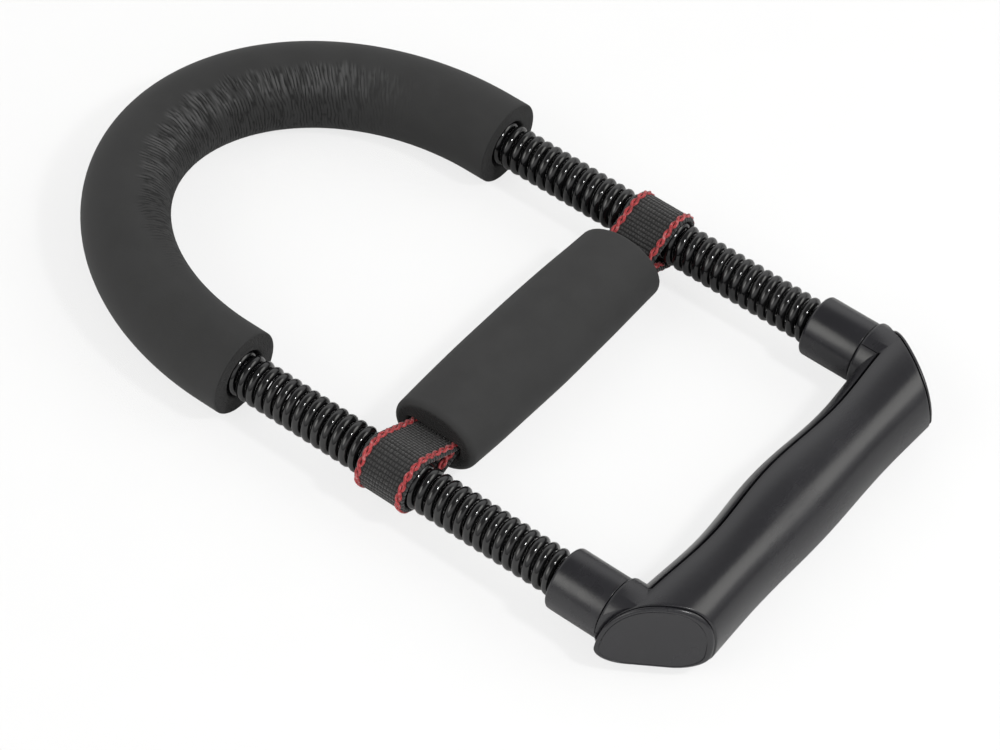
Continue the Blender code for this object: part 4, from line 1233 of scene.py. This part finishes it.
def finish_moulding(item, node):
    """Finish a moulded piece of the grip in the black plastic, which is made once for all of them."""
    name = "black_plastic"
    material = bpy.data.materials.get(name) or plastic_material(name, settings().grip)
    finish_piece(item, material, "grip", "moulding", node)


class ExerciserSettings(bpy.types.PropertyGroup):
    foam: bpy.props.PointerProperty(type=FoamSettings, name="Foam")
    spring: bpy.props.PointerProperty(type=SpringSettings, name="Springs")
    strap: bpy.props.PointerProperty(type=StrapSettings, name="Strap")
    pad: bpy.props.PointerProperty(type=PadSettings, name="Pad")
    grip: bpy.props.PointerProperty(type=GripSettings, name="Grip")
    stage: bpy.props.PointerProperty(type=StageSettings, name="Stage")


class EXERCISER_OT_sleeve(bpy.types.Operator):
    """Wind both springs, each in two halves that meet at the middle of the shown length"""

    bl_idname = "exerciser.sleeve"
    bl_label = "Foam Sleeve"

    def execute(self, context):
        foam = settings().foam
        sleeve = add_object("arch_sleeve", sleeve_mesh(foam))
        finish_piece(sleeve, foam_material("foam_sleeve", foam, 1.0, True), "arch", "foam", "arch_foam")
        return {"FINISHED"}


class EXERCISER_OT_springs(bpy.types.Operator):
    """Wind both springs, each in two halves that bend with the arch and with the grip"""

    bl_idname = "exerciser.springs"
    bl_label = "Springs"

    def execute(self, context):
        spring = settings().spring
        material = wire_material("spring_paint", spring)
        tree = coil_tree()
        start, end = -spring.in_foam, spring.shown + spring.in_socket
        room = end - start - 2 * spring.wire
        turns = math.floor(room / spring.pitch)
        tang = spring.wire + (room - turns * spring.pitch) / 2
        middle = spring.shown / 2
        halves = (
            ("rear", start, middle, "arch", "springs", spring.hinge),
            ("front", middle, end, "springs", "grip", spring.shown - spring.hinge),
        )
        for name, side in SIDES:
            for half, low, high, behind, ahead, hinge in halves:
                coil = add_object(f"spring_{name}_{half}", bpy.data.meshes.new("coil"))
                run_tree(coil, tree, {
                    "From": low, "To": high, "Coil Start": start + tang, "Coil End": end - tang,
                    "Pitch": spring.pitch, "Coil Radius": SPRING_RADIUS - spring.wire / 2,
                    "Wire Radius": spring.wire / 2, "Axis": in_row(0.0, side * SIDE, 0.0),
                    "Points per Turn": WIRE_POINTS, "Sides": WIRE_SIDES, "Material": material,
                })
                finish_piece(coil, material, "", "spring_wire", f"spring_{name}")
                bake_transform(coil)
        return {"FINISHED"}


class EXERCISER_OT_strap(bpy.types.Operator):
    """Lay the loop of webbing round both springs"""

    bl_idname = "exerciser.strap"
    bl_label = "Webbing"

    def execute(self, context):
        strap, pad = settings().strap, settings().pad
        data, loop = strap_mesh(strap, pad)
        webbing = add_object("strap_loop", data)
        finish_piece(webbing, webbing_material("webbing", strap), "pad", "webbing", "strap_webbing")
        return {"FINISHED"}


class EXERCISER_OT_stitching(bpy.types.Operator):
    """Sew the red chain stitch along both edges of the webbing, on both of its faces"""

    bl_idname = "exerciser.stitching"
    bl_label = "Stitching"

    def execute(self, context):
        strap, pad = settings().strap, settings().pad
        material = thread_material("red_thread", strap)
        tree = chain_tree()
        line, places = strap_line(strap, pad, STITCH_SPACING)
        turns = round((places[-1] + places[1]) / (2 * strap.link))
        ways = ways_along(line)
        outward = np.stack([-ways[:, 1], ways[:, 0]], axis=1)
        half, pad_end = strap.thickness / 2, pad.length / 2
        outside = np.full(len(line), half + STITCH_LIFT)
        across = np.abs(line[:, 0])
        clear = np.hypot(across - SIDE, line[:, 1]) - SPRING_RADIUS - STRAP_SLIP - half
        free = np.clip(clear, 0.0, STITCH_LOOSE) * smooth_ramp(across, pad_end - 0.002, pad_end)
        inside = STITCH_SUNK - half - free
        sewn = bmesh.new()
        for side in (-1, 1):
            x = STRAP_X + side * (strap.width / 2 - strap.inset)
            for lifts, rise in ((outside, STITCH_RISE), (inside, STITCH_RISE_INSIDE)):
                row = bpy.data.meshes.new("row")
                seam = line + outward * lifts[:, None]
                edges = [(index, (index + 1) % len(seam)) for index in range(len(seam))]
                row.from_pydata([in_row(x, y, z) for y, z in seam.tolist()], edges, [])
                chain = add_object("chain", row)
                run_tree(chain, tree, {
                    "Turns": turns, "Half Width": strap.link_width / 2, "Half Height": rise,
                    "Thread Radius": strap.thread / 2, "Points per Turn": STITCH_POINTS,
                    "Sides": STITCH_SIDES, "Material": material,
                })
                sewn.from_mesh(chain.data)
                bpy.data.meshes.remove(take_mesh(chain))
        data = bpy.data.meshes.new("strap_stitching")
        sewn.to_mesh(data)
        sewn.free()
        turn_outward(data)
        data.shade_smooth()
        finish_piece(add_object("strap_stitching", data), material, "pad", "webbing")
        return {"FINISHED"}


class EXERCISER_OT_pad(bpy.types.Operator):
    """Shape the foam roll that the webbing runs through"""

    bl_idname = "exerciser.pad"
    bl_label = "Foam Pad"

    def execute(self, context):
        pad, strap, foam = settings().pad, settings().strap, settings().foam
        roll = add_object("pad_roll", pad_mesh(pad, strap))
        finish_piece(roll, foam_material("foam_pad", foam, 1.12, False), "pad", "foam", "pad_foam")
        return {"FINISHED"}


class EXERCISER_OT_sockets(bpy.types.Operator):
    """Turn the two sockets that take the springs"""

    bl_idname = "exerciser.sockets"
    bl_label = "Sockets"

    def execute(self, context):
        form = GripForm()
        face, floor, back = form.socket_face, form.socket_floor, form.socket_back
        radius, bore = form.grip.socket / 2, SPRING_RADIUS + STRAP_SLIP
        profile = [(face + SOCKET_BEVEL, bore), (face, bore + SOCKET_BEVEL)]
        profile += rounded_corner(face, radius, SOCKET_EDGE, 1)[::-1]
        profile += rounded_corner(back, radius, SOCKET_BEVEL, -1)
        profile += [(back, ROD_BORE), (floor, ROD_BORE), (floor, bore)]
        for name, side in SIDES:
            data = turned("cup", profile, (0.0, side * SIDE, 0.0), closed=True)
            cup = add_object(f"socket_cup_{name}", data)
            smooth(cup.data)
            finish_moulding(cup, f"socket_{name}")
        return {"FINISHED"}


class EXERCISER_OT_shells(bpy.types.Operator):
    """Mould the two shells of the grip"""

    bl_idname = "exerciser.shells"
    bl_label = "Grip Shells"

    def execute(self, context):
        for name, shell in GripForm().shells():
            finish_moulding(shell, f"grip_{name}_shell")
        return {"FINISHED"}


class EXERCISER_OT_caps(bpy.types.Operator):
    """Let the two end caps into the mitred ends of the grip"""

    bl_idname = "exerciser.caps"
    bl_label = "End Caps"

    def execute(self, context):
        form = GripForm()
        for name, side in SIDES:
            plate = add_object(f"end_plate_{name}", form.cap(side))
            smooth(plate.data)
            finish_moulding(plate, f"end_cap_{name}")
        return {"FINISHED"}


class EXERCISER_OT_screws(bpy.types.Operator):
    """Set the three screws under the grip"""

    bl_idname = "exerciser.screws"
    bl_label = "Screws"

    def execute(self, context):
        form = GripForm()
        under = -form.grip.bottom + HEAD_DEPTH
        neck = under + HEAD_LENGTH
        profile = [(under + depth, HEAD_RADIUS * part) for depth, part in SCREW_CROWN]
        profile += [(neck, HEAD_RADIUS), (neck, SHANK_RADIUS), (neck + SHANK_STRAIGHT, SHANK_RADIUS)]
        profile.append((neck + SHANK_LENGTH, TIP_RADIUS))
        screw = add_object("grip_screws", turned("screw", profile, -ORIGIN, "Z", 48))
        for arm_x, arm_y in (CROSS_ARM, CROSS_ARM[::-1]):
            low = Vector((-arm_x, -arm_y, under - CROSS_DEPTH)) - ORIGIN
            high = Vector((arm_x, arm_y, under + CROSS_DEPTH)) - ORIGIN
            cut(screw, block("recess", low, high), "DIFFERENCE")
        smooth(screw.data)
        material = steel_material("blackened_steel", (0.075, 0.073, 0.070), 0.34, 0.50)
        run_tree(screw, row_tree(), {
            "Count": SCREW_COUNT, "Pitch": SCREW_PITCH, "First": in_row(*form.screws[0], 0.0),
            "Material": material,
        })
        finish_piece(screw, material, "grip", "screw_steel", "grip_screw_1", "grip_screw_2", "grip_screw_3")
        return {"FINISHED"}


class EXERCISER_OT_steel(bpy.types.Operator):
    """Give the rods, collars and pins inside their drawn steel"""

    bl_idname = "exerciser.steel"
    bl_label = "Inner Steel"

    def execute(self, context):
        material = steel_material("drawn_steel", (0.55, 0.55, 0.56), 0.28, 0.46)
        for name in STEEL_NODES:
            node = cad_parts[name]
            if not node.material_slots:
                raise RuntimeError(f"{name} has no material slot")
            for entry in node.material_slots:
                entry.material = material
        return {"FINISHED"}


class EXERCISER_OT_stage(bpy.types.Operator):
    """Set the pale floor, the soft studio light and the photograph's camera"""

    bl_idname = "exerciser.stage"
    bl_label = "Stage"

    def execute(self, context):
        stage = settings().stage
        scene = context.scene
        scene.view_settings.view_transform = "Standard"
        lay_floor(stage)
        light_sky(scene, stage)
        hang_lamp("small_lamp", LAMP_PLACE, LAMP_WIDTH, stage.spark)
        place_camera(scene, stage)
        return {"FINISHED"}


def lay_floor(stage):
    """A pale floor that bounces light; what it bounces and shows in reflections is painted light and shade,
    lighter on the near side and darker on the far side. The camera sees it evenly pale, looks partly through
    it, and fully from below.
    """
    work = bmesh.new()
    bmesh.ops.create_grid(work, x_segments=12, y_segments=12, size=stage.extent / 2)
    data = bpy.data.meshes.new("floor")
    work.to_mesh(data)
    work.free()
    material, tree, shader = start_material("floor")
    grain = noise_at(tree, own_place(tree), 40.0, 2.0)
    to_camera = add_node(tree, "ShaderNodeLightPath").outputs["Is Camera Ray"]
    pale = mottled(tree, grain, stage.floor, 1.0, 1.02)
    # Painted light and shade for the part: the floor's colour for all but camera rays is lighter on the near
    # side and darker on the far side
    across = split(tree, own_place(tree))["Y"]
    bounced = blend_colour(tree, ramp(tree, across, -0.14, 0.08), lighter(stage.floor, 1.08),
                           lighter(stage.floor, 0.66))
    tree.links.new(blend_colour(tree, to_camera, bounced, pale), shader.inputs["Base Color"])
    tree.links.new(spread(tree, grain, 0.85, 0.95), shader.inputs["Roughness"])
    shader.inputs["Specular IOR Level"].default_value = 0.1
    below = add_node(tree, "ShaderNodeNewGeometry").outputs["Backfacing"]
    clear = calc(tree, "MAXIMUM", below, times(tree, to_camera, FLOOR_CLEAR))
    nothing = add_node(tree, "ShaderNodeBsdfTransparent")
    mixed = add_node(tree, "ShaderNodeMixShader", {0: clear, 1: shader.outputs[0], 2: nothing.outputs[0]})
    tree.links.new(mixed.outputs[0], tree.nodes["Material Output"].inputs["Surface"])
    data.materials.append(material)
    add_object("floor", data)


def light_sky(scene, stage):
    """A pale sky, dim overhead, with two slightly warm soft boxes in it. Seen straight, it is white."""
    world = bpy.data.worlds.new("studio")
    scene.world = world
    world.use_nodes = True
    tree = world.node_tree
    tree.nodes.clear()
    way = add_node(tree, "ShaderNodeTexCoord").outputs["Generated"]
    parts = split(tree, way)
    up = parts["Z"]
    sky = ramp(tree, up, 0.58, 0.84, stage.sky_low, stage.sky_high)
    horizon = ramp(tree, up, 0.0, 0.42, ramp(tree, parts["X"], -0.3, 0.7, 0.56, 0.34), 1.0)
    sky = times(tree, sky, horizon)
    boxes = 0.0
    for centre, power in ((FAR_BOX_WAY, stage.box_far), (NEAR_BOX_WAY, stage.box_near)):
        near = vector_calc(tree, "DOT_PRODUCT", way, tuple(Vector(centre).normalized()))
        boxes = plus(tree, boxes, ramp(tree, near, *BOX_FADE, 0.0, power))
    warm = vector_calc(tree, "SCALE", BOX_TINT, boxes)
    both = vector_calc(tree, "ADD", vector_of(tree, sky, sky, sky), warm)
    seen = add_node(tree, "ShaderNodeLightPath").outputs["Is Camera Ray"]
    light = blend_colour(tree, seen, both, (1.0, 1.0, 1.0))
    background = add_node(tree, "ShaderNodeBackground", {"Color": light, "Strength": 1.0})
    add_node(tree, "ShaderNodeOutputWorld", {"Surface": background.outputs[0]})


def hang_lamp(name, place, width, radiance):
    """A square lamp of this radiance that faces the part."""
    data = bpy.data.lights.new(name, "AREA")
    data.size = width
    data.energy = radiance * math.pi * width ** 2
    lamp = add_object(name, data)
    lamp.matrix_world = Matrix.Translation(place) @ place.to_track_quat("Z", "Y").to_matrix().to_4x4()


def place_camera(scene, stage):
    back = Vector((
        math.sin(CAMERA_AZIMUTH) * math.cos(CAMERA_ELEVATION),
        -math.cos(CAMERA_AZIMUTH) * math.cos(CAMERA_ELEVATION),
        math.sin(CAMERA_ELEVATION),
    ))
    level = Vector((math.cos(CAMERA_AZIMUTH), math.sin(CAMERA_AZIMUTH), 0.0))
    upright = back.cross(level)
    right = math.cos(CAMERA_ROLL) * level + math.sin(CAMERA_ROLL) * upright
    up = math.cos(CAMERA_ROLL) * upright - math.sin(CAMERA_ROLL) * level
    data = bpy.data.cameras.new("photo_camera")
    data.lens = stage.focal
    data.sensor_width = 36.0
    data.clip_start, data.clip_end = 0.01, 50.0
    camera = add_object("photo_camera", data)
    camera.matrix_world = Matrix.Translation(CAMERA_PLACE) @ Matrix((right, up, back)).transposed().to_4x4()
    scene.camera = camera


OPERATORS = (
    EXERCISER_OT_sleeve, EXERCISER_OT_springs, EXERCISER_OT_strap, EXERCISER_OT_stitching,
    EXERCISER_OT_pad, EXERCISER_OT_sockets, EXERCISER_OT_shells, EXERCISER_OT_caps,
    EXERCISER_OT_screws, EXERCISER_OT_steel, EXERCISER_OT_stage,
)


class EXERCISER_PT_panel(bpy.types.Panel):
    bl_idname = "EXERCISER_PT_panel"
    bl_label = "Wrist Exerciser"
    bl_space_type = "VIEW_3D"
    bl_region_type = "UI"
    bl_category = "Exerciser"

    def draw(self, context):
        for operator in OPERATORS:
            self.layout.operator(operator.bl_idname)
        for group in ("foam", "spring", "strap", "pad", "grip", "stage"):
            values = getattr(context.scene.exerciser, group)
            box = self.layout.box()
            box.label(text=group.title())
            for key in values.__annotations__:
                box.prop(values, key)


GROUPS = (
    FoamSettings, SpringSettings, StrapSettings, PadSettings, GripSettings, StageSettings,
    ExerciserSettings,
)


def register():
    for kind in GROUPS + OPERATORS + (EXERCISER_PT_panel,):
        bpy.utils.register_class(kind)
    bpy.types.Scene.exerciser = bpy.props.PointerProperty(type=ExerciserSettings)


def unregister():
    del bpy.types.Scene.exerciser
    for kind in reversed(GROUPS + OPERATORS + (EXERCISER_PT_panel,)):
        bpy.utils.unregister_class(kind)


def main():
    register()
    for operator in OPERATORS:
        group, name = operator.bl_idname.split(".")
        getattr(getattr(bpy.ops, group), name)()


if __name__ == "__main__":
    main()
